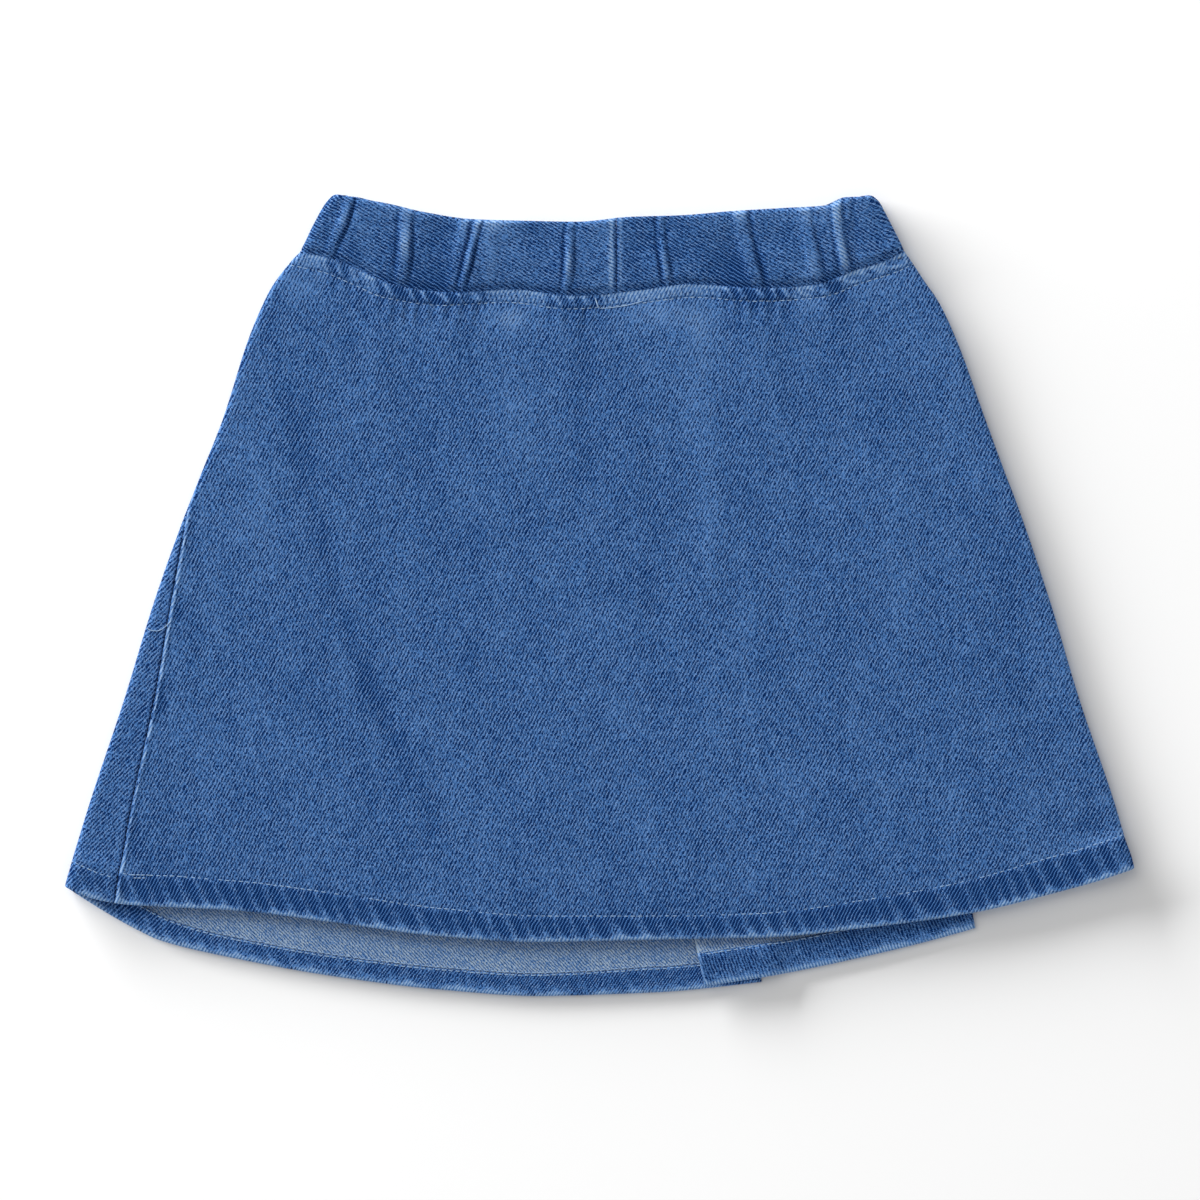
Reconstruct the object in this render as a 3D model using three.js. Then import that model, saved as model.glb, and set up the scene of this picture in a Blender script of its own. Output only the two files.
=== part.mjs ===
import * as THREE from "three";

// A pull-on denim skirt with a mock wrap front, laid flat with its back uppermost.
// Millimetres: +X is to the right, +Y is towards the waist, +Z is up and z = 0 is the surface
// that the skirt lies on. The cloth goes round as one flattened loop: over the back, round the
// right fold, beneath the front and round the left fold.

// Driving sizes
const CLOTH = 1.0; // wall of one layer of denim
const BAND_WALL = 3.0; // wall of the casing, with the elastic between its layers
const GAP = 0.3; // air at a seam and between two layers
const FOLD_RADIUS = 2.2; // middle of the wall round a side fold of the skirt
const HEM_FOLD_RADIUS = 3.0; // the same where the turned hem lies inside the fold
const BAND_FOLD_RADIUS = 2.05; // the same round a side fold of the casing
const BAND_TOP = 168.8; // top corners of the casing
const WAIST = 144.5; // where the waist seam crosses the side folds
const LEFT_HEM = -121.8; // where the hem crosses the left fold
const RIGHT_HEM = -114.2; // where the hem crosses the right fold
const JOIN = 6.9; // x of the join of the casing, at the middle of the back
const WELT_DEPTH = 5.4; // seam allowance stitched down under the casing
const WELT_RISE = 0.5;
const HEM_DEPTH = { back: 12, wrap: 10, under: 13 }; // turned up and stitched
const HEM_FLARE = 0.93; // share of the way down where the folds start to open for the hem
const FRONT_SINK = { band: 3, waist: 6 }; // the front lies this much lower at its middle
const SAG_START = 4; // the back sinks from the hem folds, from here inwards
const SAG_REACH = 25;
const OVERLAP_RAMP = 12; // width over which the under front comes down off the wrap front
const CROWD = 0.35; // least distance between two places along a row
const NEAR_FOLD = 48; // the waist seam bends most this near the side folds
const EDGE_CLEAR = 1.5; // the under front stays up this far past the wrap front's edge
const HEM_CLEAR = { from: 8, over: 6 }; // and this far above the wrap front's turned hem
const FLARE_OVER = 0.025; // share of the length over which the folds open for the hem

const table = (names, ...rows) =>
  rows.map((row) => Object.fromEntries(names.map((name, i) => [name, row[i]])));

// Outermost points of the two side folds at each height, from the hem up.
const SIDES = table(
  ["y", "left", "right"],
  [-121.8, -224.7, 225.7],
  [-110.9, -222.2, 223.6],
  [-102.5, -220.1, 220.7],
  [-85.7, -215.0, 215.7],
  [-43.7, -200.7, 201.4],
  [-1.7, -187.7, 188.8],
  [40.3, -172.6, 174.5],
  [73.9, -159.2, 161.9],
  [107.5, -147.8, 149.7],
  [124.3, -140.7, 141.7],
  [130.2, -138.2, 137.5],
  [140.3, -130.6, 130.8],
  [144.5, -126.8, 127.9],
  [155.4, -121.4, 122.4],
  [163.0, -117.2, 118.6],
  [168.8, -112.5, 116.0],
);

// How far each edge dips below the straight line between its side folds, at each share of the
// width from the left: the casing's top, the waist seam and the hems of the three panels.
const DIPS = table(
  ["share", "top", "waist", "back", "wrap", "under"],
  [0.0, 0.0, 0.0, 0.0, 0.0, 0.0],
  [0.03, 0.6, 1.5, 5.5, 8.8, 8.8],
  [0.06, 2.1, 3.4, 7.9, 16.8, 16.8],
  [0.09, 3.3, 6.7, 8.9, 23.3, 23.3],
  [0.16, 6.9, 14.2, 11.0, 30.8, 30.8],
  [0.25, 9.8, 17.0, 16.6, 38.4, 38.4],
  [0.35, 10.5, 15.6, 23.2, 45.7, 45.7],
  [0.45, 10.9, 18.3, 26.4, 49.2, 49.2],
  [0.55, 8.9, 16.4, 26.2, 48.5, 48.0],
  [0.65, 8.2, 13.4, 26.1, 44.9, 43.0],
  [0.75, 6.4, 15.2, 22.7, 39.5, 34.8],
  [0.85, 5.1, 13.8, 17.2, 32.0, 24.0],
  [0.92, 4.2, 7.6, 10.2, 20.0, 13.5],
  [0.965, 0.6, 4.0, 5.0, 9.0, 6.5],
  [1.0, 0.4, 0.0, 0.0, 0.0, 0.0],
);

// How far the left side seam lies from the tip of the left fold: over the back where positive,
// beneath where negative.
const LEFT_SEAM = table(
  ["y", "offset"],
  [-127, 21.5],
  [-86, 18.5],
  [-28, 11.8],
  [14, 5.7],
  [45, 0.5],
  [145, -8],
);

// Straight edges on the underside: x at the waist and at the hem.
const RIGHT_SEAM = { waist: 108.4, hem: 162.1 };
const WRAP_EDGE = { waist: 37.8, hem: 68.0 };
const UNDER_EDGE = { waist: -18.5, hem: 43.7 };
const EDGE_WAIST_Y = 126;
const EDGE_HEM_Y = -163;

// Gathers of the casing: x at the waist seam and at the top edge, half width and height. On
// the back they stand proud, and beneath they are grooves between folds that lie flat.
const BACK_GATHERS = table(
  ["seam", "top", "width", "height"],
  [-117.0, -108.8, 2.0, 1.2],
  [-85.7, -81.0, 3.2, 2.2],
  [-63.0, -56.6, 2.0, 2.0],
  [-55.0, -48.6, 1.6, 1.4],
  [-14.3, -13.9, 2.2, 1.6],
  [1.0, 0.4, 2.4, 0.9],
  [29.8, 24.4, 2.0, 1.8],
  [65.1, 59.2, 3.8, 2.3],
  [89.9, 84.4, 3.0, 1.4],
  [103.9, 97.0, 2.2, 1.6],
  [116.5, 111.0, 1.8, 1.0],
);
const FRONT_GATHERS = table(
  ["seam", "top", "width", "height"],
  [-108.0, -101.0, 2.4, 0.8],
  [-90.5, -86.0, 2.0, 0.9],
  [-69.0, -65.0, 3.0, 0.7],
  [-46.0, -42.5, 2.2, 0.9],
  [-27.0, -25.0, 2.6, 0.6],
  [-4.0, -4.5, 2.0, 0.9],
  [21.0, 18.0, 3.0, 0.8],
  [42.0, 38.5, 2.2, 0.9],
  [68.0, 62.5, 2.8, 0.7],
  [87.0, 80.5, 2.0, 0.9],
  [106.0, 98.5, 2.4, 0.8],
);
const GATHER_PLACES = [-1.5, -0.75, 0, 0.75, 1.5]; // in half widths, across one gather
const PLAIN_STEP = 9; // most distance between two places where the casing is smooth

// Soft swells of the back below the waist: x at the seam and at its end, how far down it
// reaches as a share, half width and height.
const SWELLS = table(
  ["seam", "end", "reach", "width", "height"],
  [-88, -101, 0.3, 9, 0.7],
  [-60, -66, 0.22, 8, 0.6],
  [-14, -16, 0.26, 8, 0.5],
  [31, 36, 0.24, 9, 0.5],
  [64, 74, 0.34, 10, 0.7],
  [92, 107, 0.2, 8, 0.5],
);

const mix = (from, to, share) => from + (to - from) * share;
const clamp = (value) => Math.min(1, Math.max(0, value));
const ease = (value) => clamp(value) ** 2 * (3 - 2 * clamp(value));
const hump = (distance, width) => Math.exp(-((distance / width) ** 2));
const bow = (share) => 4 * share * (1 - share);

// A smooth curve through one column of a table, with no overshoot between its rows.
function curve(rows, place, column) {
  const x = rows.map((row) => row[place]);
  const y = rows.map((row) => row[column]);
  const rise = x.slice(1).map((next, i) => (y[i + 1] - y[i]) / (next - x[i]));
  const slope = x.map((_, i) => {
    const before = rise[i - 1] ?? rise[i];
    const after = rise[i] ?? before;
    return before * after > 0 ? (2 * before * after) / (before + after) : 0;
  });
  return (value) => {
    const later = x.findIndex((next, i) => i > 0 && value <= next);
    const i = later < 0 ? x.length - 2 : later - 1;
    const span = x[i + 1] - x[i];
    const t = clamp((value - x[i]) / span);
    return (
      mix(y[i], y[i + 1], t * t * (3 - 2 * t)) +
      span * t * (1 - t) * (slope[i] * (1 - t) - slope[i + 1] * t)
    );
  };
}

const leftSide = curve(SIDES, "y", "left");
const rightSide = curve(SIDES, "y", "right");
const leftSeam = curve(LEFT_SEAM, "y", "offset");
const dip = Object.fromEntries(
  ["top", "waist", "back", "wrap", "under"].map((name) => [name, curve(DIPS, "share", name)]),
);
const straight = (edge) => (y) =>
  mix(edge.waist, edge.hem, (EDGE_WAIST_Y - y) / (EDGE_WAIST_Y - EDGE_HEM_Y));
const rightSeam = straight(RIGHT_SEAM);
const wrapEdge = straight(WRAP_EDGE);
const underEdge = straight(UNDER_EDGE);

// A tube is the flattened loop of one part of the skirt. `down` runs from 0 at its upper edge
// to 1 at its lower one, and `round` is the distance round the loop from the left fold's tip:
// first over the back, then beneath.
const skirtTube = {
  wall: CLOTH,
  leftY: (down) => mix(WAIST, LEFT_HEM, down),
  rightY: (down) => mix(WAIST, RIGHT_HEM, down),
  radius: (down) => mix(FOLD_RADIUS, HEM_FOLD_RADIUS, ease((down - HEM_FLARE) / FLARE_OVER)),
  upperDip: (share, beneath) =>
    dip.waist(share) + (beneath ? FRONT_SINK.waist * bow(share) : 0),
};
const bandTube = {
  wall: BAND_WALL,
  leftY: (down) => mix(BAND_TOP, WAIST + GAP, down),
  rightY: (down) => mix(BAND_TOP, WAIST + GAP, down),
  radius: () => BAND_FOLD_RADIUS,
  upperDip: (share, beneath) => dip.top(share) + (beneath ? FRONT_SINK.band * bow(share) : 0),
  lowerDip: (share, beneath) => skirtTube.upperDip(share, beneath),
};

// The loop's measures at one height.
function loop(tube, down) {
  const leftY = tube.leftY(down);
  const rightY = tube.rightY(down);
  const left = leftSide(leftY) + tube.wall / 2;
  const right = rightSide(rightY) - tube.wall / 2;
  const radius = tube.radius(down);
  const quarter = (radius * Math.PI) / 2;
  const half = right - left - 2 * radius + 2 * quarter;
  return { leftY, rightY, left, right, radius, quarter, half };
}

// Distance round the loop to a place given by its x, over the back or beneath.
function roundTo(ring, x, beneath) {
  const along = x - ring.left - ring.radius + ring.quarter;
  return beneath ? 2 * ring.half - along : along;
}

// The under front lies on the wrap front, and higher on its turned hem, then comes down to the
// surface beyond the wrap front's edge.
function underLift(x, y, share) {
  const onWrap = 1 - ease((x - wrapEdge(y) - EDGE_CLEAR) / OVERLAP_RAMP);
  const wrapHem = mix(LEFT_HEM, RIGHT_HEM, share) - dip.wrap(share) + HEM_DEPTH.wrap;
  const onHem = ease((wrapHem + HEM_CLEAR.from - y) / HEM_CLEAR.over);
  return onWrap * (CLOTH + GAP) * (1 + onHem);
}

function swell(x, down) {
  let total = 0;
  for (const row of SWELLS) {
    const middle = mix(row.seam, row.end, clamp(down / row.reach));
    total += row.height * hump(x - middle, row.width) * (1 - ease(down / row.reach));
  }
  return total;
}

// The middle of the wall at one place of a piece.
function middle(piece, down, round) {
  const ring = loop(piece.tube, down);
  const full = 2 * ring.half;
  const place = ((round % full) + full) % full;
  const beneath = place > ring.half;
  const along = beneath ? full - place : place;
  let x = ring.left + ring.radius + along - ring.quarter;
  let rise = ring.radius;
  if (along < ring.quarter) {
    const angle = along / ring.radius;
    x = ring.left + ring.radius * (1 - Math.cos(angle));
    rise = ring.radius * Math.sin(angle);
  } else if (along > ring.half - ring.quarter) {
    const angle = (ring.half - along) / ring.radius;
    x = ring.right - ring.radius * (1 - Math.cos(angle));
    rise = ring.radius * Math.sin(angle);
  }
  const share = clamp((x - ring.left) / (ring.right - ring.left));
  const upper = piece.tube.upperDip(share, beneath);
  const lower = (piece.tube.lowerDip ?? piece.hemDip)(share, beneath);
  const y = mix(ring.leftY, ring.rightY, share) - mix(upper, lower, down);
  let z = piece.tube.wall / 2 + ring.radius + (beneath ? -rise : rise);
  if (piece.tube === skirtTube && !beneath) {
    const fromFold = Math.min(x - ring.left, ring.right - x);
    z -= 2 * (ring.radius - FOLD_RADIUS) * ease((fromFold - SAG_START) / SAG_REACH);
    z += swell(x, down) * ease((fromFold - SAG_START) / SAG_REACH);
  }
  if (piece.lift && beneath) z += piece.lift(x, y, share);
  return new THREE.Vector3(x, y, z);
}

// Distance round the loop where a piece meets an edge that depends on y.
function roundAtEdge(piece, down, edge) {
  let y = piece.tube.leftY(down);
  let round = 0;
  for (let i = 0; i < 6; i += 1) {
    round = edge(y, loop(piece.tube, down));
    y = middle(piece, down, round).y;
  }
  return round;
}

// Places along a row. Each stretch between two stops has its own number of equal steps, and
// stops that would cross are kept a little apart.
function placesBetween(stops, steps) {
  const at = [...stops];
  const last = at.length - 1;
  for (let i = 1; i < last; i += 1) at[i] = Math.max(at[i], at[i - 1] + CROWD * steps[i - 1]);
  for (let i = last - 1; i > 0; i -= 1) at[i] = Math.min(at[i], at[i + 1] - CROWD * steps[i]);
  const rounds = [at[0]];
  steps.forEach((count, i) => {
    for (let k = 1; k <= count; k += 1) rounds.push(mix(at[i], at[i + 1], k / count));
  });
  return rounds;
}

// A closed wall over rows of places. `offsets` gives the distances of its outer and inner face
// from the middle, along the outward normal.
function wall(piece, rows, placesOf, offsets) {
  const points = { outer: [], inner: [] };
  const columns = placesOf(rows[0]).length;
  for (const down of rows) {
    const ring = loop(piece.tube, down);
    for (const round of placesOf(down)) {
      const at = middle(piece, down, round);
      const step = 0.02;
      const ahead = middle(piece, down, round + step).sub(middle(piece, down, round - step));
      const slip = 0.0005;
      const below = middle(piece, down + slip, round).sub(middle(piece, down - slip, round));
      const normal = below.cross(ahead).normalize();
      const { outer, inner } = offsets(at, down, ring, normal);
      points.outer.push(at.clone().addScaledVector(normal, outer));
      points.inner.push(at.clone().addScaledVector(normal, inner));
    }
  }
  const count = rows.length * columns;
  const index = [];
  const quad = (a, b, c, d) => index.push(a, b, c, a, c, d);
  for (let i = 0; i < rows.length - 1; i += 1) {
    for (let j = 0; j < columns - 1; j += 1) {
      const a = i * columns + j;
      const b = a + columns;
      quad(a, b, b + 1, a + 1);
      quad(count + a, count + a + 1, count + b + 1, count + b);
    }
  }
  const rim = [];
  const end = rows.length - 1;
  for (let i = 0; i < end; i += 1) rim.push(i * columns);
  for (let j = 0; j < columns - 1; j += 1) rim.push(end * columns + j);
  for (let i = end; i > 0; i -= 1) rim.push(i * columns + columns - 1);
  for (let j = columns - 1; j > 0; j -= 1) rim.push(j);
  rim.forEach((a, i) => {
    const b = rim[(i + 1) % rim.length];
    quad(b, a, count + a, count + b);
  });
  const geometry = new THREE.BufferGeometry();
  const positions = [...points.outer, ...points.inner].flatMap((point) => point.toArray());
  geometry.setAttribute("position", new THREE.Float32BufferAttribute(positions, 3));
  geometry.setIndex(index);
  geometry.computeVertexNormals();
  return geometry;
}

// The panels
const panels = {
  back: { tube: skirtTube, hemDip: (share) => dip.back(share) },
  wrap: {
    tube: skirtTube,
    hemDip: (share, beneath) => (beneath ? dip.wrap(share) : dip.back(share)),
  },
  under: { tube: skirtTube, hemDip: (share) => dip.under(share), lift: underLift },
};
const PANEL_ROWS = [
  0, 0.01, 0.02, 0.024, 0.05, 0.09, 0.14, 0.2, 0.27, 0.35, 0.43, 0.52, 0.61, 0.7, 0.79, 0.87,
  0.93, 0.955, 0.978, 1,
];

const places = {
  back: (down) => {
    const ring = loop(skirtTube, down);
    const start = roundAtEdge(panels.back, down, (y) => leftSeam(y) + GAP / 2);
    const finish = roundAtEdge(panels.back, down, (y, r) =>
      roundTo(r, rightSeam(y) + GAP / 2, true),
    );
    const { quarter, half } = ring;
    return placesBetween(
      [start, -quarter, quarter, NEAR_FOLD, half - NEAR_FOLD, half - quarter, half + quarter, finish],
      [2, 5, 8, 15, 8, 6, 5],
    );
  },
  wrap: (down) => {
    const ring = loop(skirtTube, down);
    const full = 2 * ring.half;
    const start = roundAtEdge(
      panels.wrap,
      down,
      (y, r) => roundTo(r, wrapEdge(y), true) - full,
    );
    const finish = roundAtEdge(panels.wrap, down, (y) => leftSeam(y) - GAP / 2);
    return placesBetween([start, -NEAR_FOLD, -ring.quarter, ring.quarter, finish], [10, 8, 6, 3]);
  },
  under: (down) => {
    const start = roundAtEdge(panels.under, down, (y, r) =>
      roundTo(r, rightSeam(y) - GAP / 2, true),
    );
    const ramp = roundAtEdge(panels.under, down, (y, r) =>
      roundTo(r, wrapEdge(y) + EDGE_CLEAR + OVERLAP_RAMP, true),
    );
    const top = roundAtEdge(panels.under, down, (y, r) => roundTo(r, wrapEdge(y) + EDGE_CLEAR, true));
    const finish = roundAtEdge(panels.under, down, (y, r) => roundTo(r, underEdge(y), true));
    return placesBetween([start, ramp, top, finish], [6, 5, 4]);
  },
};

// The seam allowance under the casing is stitched down, so the back stands a little higher
// there.
const backFaces = (at, down, ring) => {
  const reach = (WAIST - LEFT_HEM) * down;
  const overTop = clamp((at.z - CLOTH / 2 - ring.radius) / ring.radius);
  const welt = reach <= WELT_DEPTH ? WELT_RISE * overTop : 0;
  return { outer: CLOTH / 2 + welt, inner: -CLOTH / 2 };
};
const plainFaces = () => ({ outer: CLOTH / 2, inner: -CLOTH / 2 });

// A turned hem is made from its panel's points, moved in by one layer and the gap.
const hemFaces = () => ({ outer: -CLOTH / 2 - GAP, inner: -1.5 * CLOTH - GAP });
function hemRows(name) {
  const depth = HEM_DEPTH[name];
  const length = WAIST - LEFT_HEM;
  return [1 - depth / length, 1 - depth / (2 * length), 1];
}

// The casing starts at the join, goes right over the back, beneath the front and comes back to
// the join from the left. Each gather has places of its own, and so has each side fold.
const ARC_PLACES = [-1, -0.6, -0.2, 0.2, 0.6, 1];
function gatherPlaces(ring, gathers, down, beneath) {
  const rounds = gathers.flatMap((row) =>
    GATHER_PLACES.map((place) =>
      roundTo(ring, mix(row.top, row.seam, down) + place * row.width, beneath),
    ),
  );
  return beneath ? rounds.reverse() : rounds;
}
function bandStops(down) {
  const ring = loop(bandTube, down);
  const full = 2 * ring.half;
  const join = roundTo(ring, JOIN, false);
  const back = gatherPlaces(ring, BACK_GATHERS, down, false);
  const front = gatherPlaces(ring, FRONT_GATHERS, down, true);
  const arc = ARC_PLACES.map((share) => share * ring.quarter);
  return [
    join + GAP / 2,
    ...back.filter((round) => round > join),
    ...arc.map((offset) => ring.half + offset),
    ...front,
    ...arc.map((offset) => full + offset),
    ...back.filter((round) => round < join).map((round) => full + round),
    full + join - GAP / 2,
  ];
}

// Its smooth stretches are divided further, as finely in every row as half way down.
const halfWay = bandStops(0.5);
const bandSteps = halfWay.slice(1).map((stop, i) => Math.ceil((stop - halfWay[i]) / PLAIN_STEP));
const bandPlaces = (down) => placesBetween(bandStops(down), bandSteps);

const bandPiece = { tube: bandTube };
const BAND_ROWS = [0, 0.07, 0.25, 0.5, 0.75, 0.93, 1];

// The casing is thinner at its folded top edge. Its gathers are deepest half way down.
const bandFaces = (at, down, ring, normal) => {
  const half = (BAND_WALL / 2) * mix(0.6, 1, ease(down / 0.1));
  const gathers = normal.z > 0 ? BACK_GATHERS : FRONT_GATHERS;
  let raise = 0;
  for (const row of gathers) {
    raise += row.height * hump(at.x - mix(row.top, row.seam, down), row.width);
  }
  raise *= mix(0.6, 1, Math.sin(Math.PI * down)) * Math.abs(normal.z);
  return { outer: half + (normal.z > 0 ? raise : -raise), inner: -half };
};

// Finishes
const outside = { color: 0x3a5e90, roughness: 0.9, metalness: 0 };
const finish = {
  waistband: new THREE.MeshStandardMaterial({ ...outside, color: 0x395a89 }),
  panel: new THREE.MeshStandardMaterial(outside),
  hem: new THREE.MeshStandardMaterial({ ...outside, color: 0x2d4b78 }),
};

const skirt = new THREE.Group();
function add(name, geometry, material) {
  const mesh = new THREE.Mesh(geometry, material.clone());
  mesh.name = name;
  skirt.add(mesh);
}

add("waistband", wall(bandPiece, BAND_ROWS, bandPlaces, bandFaces), finish.waistband);
add("back_panel", wall(panels.back, PANEL_ROWS, places.back, backFaces), finish.panel);
add("front_wrap_panel", wall(panels.wrap, PANEL_ROWS, places.wrap, plainFaces), finish.panel);
add("front_under_panel", wall(panels.under, PANEL_ROWS, places.under, plainFaces), finish.panel);
add("back_hem", wall(panels.back, hemRows("back"), places.back, hemFaces), finish.hem);
add("front_wrap_hem", wall(panels.wrap, hemRows("wrap"), places.wrap, hemFaces), finish.hem);
add("front_under_hem", wall(panels.under, hemRows("under"), places.under, hemFaces), finish.hem);

// The origin is on the surface, under the middle of the skirt.
const box = new THREE.Box3().setFromObject(skirt);
const centre = box.getCenter(new THREE.Vector3());
skirt.position.set(-centre.x, -centre.y, 0);

export default skirt;
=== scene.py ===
import math

import bpy
import numpy as np
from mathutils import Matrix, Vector


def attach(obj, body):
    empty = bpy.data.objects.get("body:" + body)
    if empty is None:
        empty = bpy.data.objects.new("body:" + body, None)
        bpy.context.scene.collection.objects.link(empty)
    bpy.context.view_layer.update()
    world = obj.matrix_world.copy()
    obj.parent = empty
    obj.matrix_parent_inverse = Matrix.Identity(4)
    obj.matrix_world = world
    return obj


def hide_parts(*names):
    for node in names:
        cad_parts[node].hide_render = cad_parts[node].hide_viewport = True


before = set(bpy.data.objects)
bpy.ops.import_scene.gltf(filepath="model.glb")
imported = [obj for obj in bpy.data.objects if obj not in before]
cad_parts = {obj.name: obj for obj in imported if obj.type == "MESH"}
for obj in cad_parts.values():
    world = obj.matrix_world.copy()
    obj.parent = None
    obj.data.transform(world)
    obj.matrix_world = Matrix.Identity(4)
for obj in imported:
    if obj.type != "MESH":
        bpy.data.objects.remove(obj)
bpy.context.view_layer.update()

# A pull-on denim skirt with a mock wrap front, laid flat with its back uppermost. All sizes
# are millimetres in the skirt's own drawing, whose origin is CENTRE away from the frame's.
MM = 0.001
CENTRE = (-0.19, 0.79)

# The photograph's scale and the pixel at the drawing's origin
PIXEL = 0.42
ORIGIN_PIXEL = (600, 596)
IMAGE_SIZE = 1200


def from_pixel(px, py):
    """A pixel of the photograph, in the drawing's millimetres."""
    return (px - ORIGIN_PIXEL[0]) * PIXEL, (ORIGIN_PIXEL[1] - py) * PIXEL


# Driving sizes. They are the solids' own, but for the left fold, the left seam and the casing's
# top, which lie up to 1.1 mm nearer to the photograph
CLOTH = 0.8  # the shell is thinner than the solid's 1 mm wall
BAND_WALL = 3.0
FOLD_RADIUS = 2.2
HEM_FOLD_RADIUS = 3.0
BAND_FOLD_RADIUS = 2.05
BAND_TOP = 167.9
WAIST = 144.5
LEFT_HEM = -121.8
RIGHT_HEM = -114.2
JOIN = 6.9
HEM_TURN = 0.65  # radius of the turn at a hem's edge
HEM_DEPTH = {"back": 12.0, "wrap": 10.0, "under": 13.0}
HEM_DIP = {"back": 12, "wrap": 22, "under": 18}  # how much longer a panel is at its middle
WELT_DEPTH = 5.4
SKIRT_LENGTH = WAIST - LEFT_HEM
HEM_FLARE = 0.93
FLARE_OVER = 0.025
FRONT_SINK = {"top": 3.0, "waist": 6.0}  # how much further an edge dips beneath
SAG_START = 4.0
SAG_REACH = 25.0
OVERLAP_RAMP = 12.0
EDGE_CLEAR = 1.5
HEM_CLEAR = (8.0, 6.0)
GAP = 0.3
CROWD = 0.2
NEAR_FOLD = 48.0

# Outermost points of the two side folds at each height
SIDES = np.array([
    # y, left, right
    (-121.8, -224.7, 225.7),
    (-110.9, -221.6, 223.6),
    (-102.5, -219.1, 220.7),
    (-85.7, -213.9, 215.7),
    (-43.7, -199.9, 201.4),
    (-1.7, -187.0, 188.8),
    (40.3, -171.9, 174.5),
    (49.0, -168.3, 171.1),
    (73.9, -158.5, 161.9),
    (107.5, -147.8, 149.7),
    (124.3, -140.7, 141.7),
    (130.2, -137.5, 137.5),
    (140.3, -129.8, 130.8),
    (144.5, -125.9, 127.9),
    (155.4, -120.3, 122.4),
    (163.0, -116.1, 118.6),
    (168.8, -111.4, 116.0),
])

# How far each edge dips below the straight line between its side folds
DIP_NAMES = ("share", "top", "waist", "back", "wrap", "under")
DIPS = np.array([
    (0.0, 0.0, 0.0, 0.0, 0.0, 0.0),
    (0.03, 0.6, 1.5, 5.5, 8.8, 8.8),
    (0.06, 2.1, 3.4, 7.9, 16.8, 16.8),
    (0.09, 3.3, 6.7, 8.9, 23.3, 23.3),
    (0.16, 6.9, 14.2, 11.0, 31.3, 31.3),
    (0.25, 9.8, 17.0, 16.6, 39.3, 39.3),
    (0.35, 10.5, 15.6, 23.2, 45.7, 45.7),
    (0.45, 10.9, 18.3, 26.4, 49.2, 49.2),
    (0.55, 8.9, 16.4, 26.2, 48.5, 48.0),
    (0.65, 8.2, 13.4, 26.1, 44.9, 43.0),
    (0.75, 6.4, 15.2, 22.7, 39.5, 34.8),
    (0.85, 5.1, 13.8, 17.2, 32.0, 24.0),
    (0.92, 4.2, 7.6, 10.2, 20.0, 13.5),
    (0.965, 0.6, 4.0, 5.0, 9.0, 6.5),
    (1.0, 0.4, 0.0, 0.0, 0.0, 0.0),
])

# x, and the distance of the hem's stitching from the edge, of the back and of the wrap
BACK_HEM = np.array([(-203, 12.2), (-180, 13.1), (-156, 12.6), (-114, 12.2), (-53, 11.3), (-21, 10.8),
                     (11, 10.0), (42, 9.5), (84, 10.3), (132, 12.6), (194, 15.0), (220, 15.0)])
WRAP_HEM = np.array([(-224, 11.5), (-203, 10.5), (-180, 8.6), (-156, 7.5), (-101, 7.7), (-46, 8.1),
                     (4, 8.9), (17, 9.5)])
# Distance of the left side seam from the tip of the left fold, at each height
LEFT_SEAM = np.array([(-127, 22.0), (-86, 16.7), (-28, 10.5), (14, 4.9), (45, -0.2), (145, -8.0)])

# Straight edges of the underside: height at its two ends, x at the waist and at the hem
EDGE_YS = (126.0, -163.0)
RIGHT_SEAM = (108.4, 162.1)
WRAP_EDGE = (37.8, 68.0)
UNDER_EDGE = (-18.5, 43.7)

# Gathers of the casing's back: x at the seam and at the top, half width, height (below zero is
# a trough), and how deep a crease runs along the left and the right side of the ridge
BACK_GATHERS = [
    (-113.8, -104.6, 1.9, 1.5, 0.1, 1.0),
    (-83.6, -80.6, 2.5, 1.8, 0.7, 0.8),
    (-70.0, -67.0, 5.0, -0.3, 0.0, 0.0),
    (-62.3, -56.9, 2.2, 1.1, 0.1, 0.4),
    (-59.1, -50.5, 1.5, 1.8, 0.5, 1.0),
    (-47.3, -44.1, 2.4, 0.5, 0.0, 0.0),
    (-20.0, -18.0, 4.0, -0.35, 0.0, 0.0),
    (-14.6, -11.9, 1.7, 1.7, 0.9, 0.5),
    (4.4, 4.6, 1.7, 0.35, 0.0, 0.0),
    (28.1, 25.2, 1.6, 1.5, 0.9, 0.4),
    (53.0, 48.0, 6.0, -0.5, 0.0, 0.0),
    (65.5, 58.2, 3.0, 1.9, 0.2, 1.0),
    (91.1, 85.3, 2.6, 1.1, 0.0, 0.5),
    (96.5, 92.0, 3.0, -0.4, 0.0, 0.0),
    (102.9, 98.7, 2.0, 1.6, 0.7, 0.7),
    (113.0, 111.0, 4.0, 0.8, 0.3, 0.0),
]
# Gathers beneath, pressed flat: the same columns, and the height is how deep a groove is
FRONT_GATHERS = [
    (-108.0, -101.0, 2.4, 0.8, 0.0, 0.2),
    (-90.5, -86.0, 2.0, 0.9, 0.0, 0.0),
    (-69.0, -65.0, 3.0, 0.7, 0.2, 0.0),
    (-46.0, -42.5, 2.2, 0.9, 0.0, 0.0),
    (-27.0, -25.0, 2.6, 0.6, 0.0, 0.2),
    (-4.0, -4.5, 2.0, 0.9, 0.0, 0.0),
    (21.0, 18.0, 3.0, 0.8, 0.2, 0.0),
    (42.0, 38.5, 2.2, 0.9, 0.0, 0.0),
    (68.0, 62.5, 2.8, 0.7, 0.0, 0.2),
    (87.0, 80.5, 2.0, 0.9, 0.0, 0.0),
    (106.0, 98.5, 2.4, 0.8, 0.0, 0.0),
]

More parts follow.
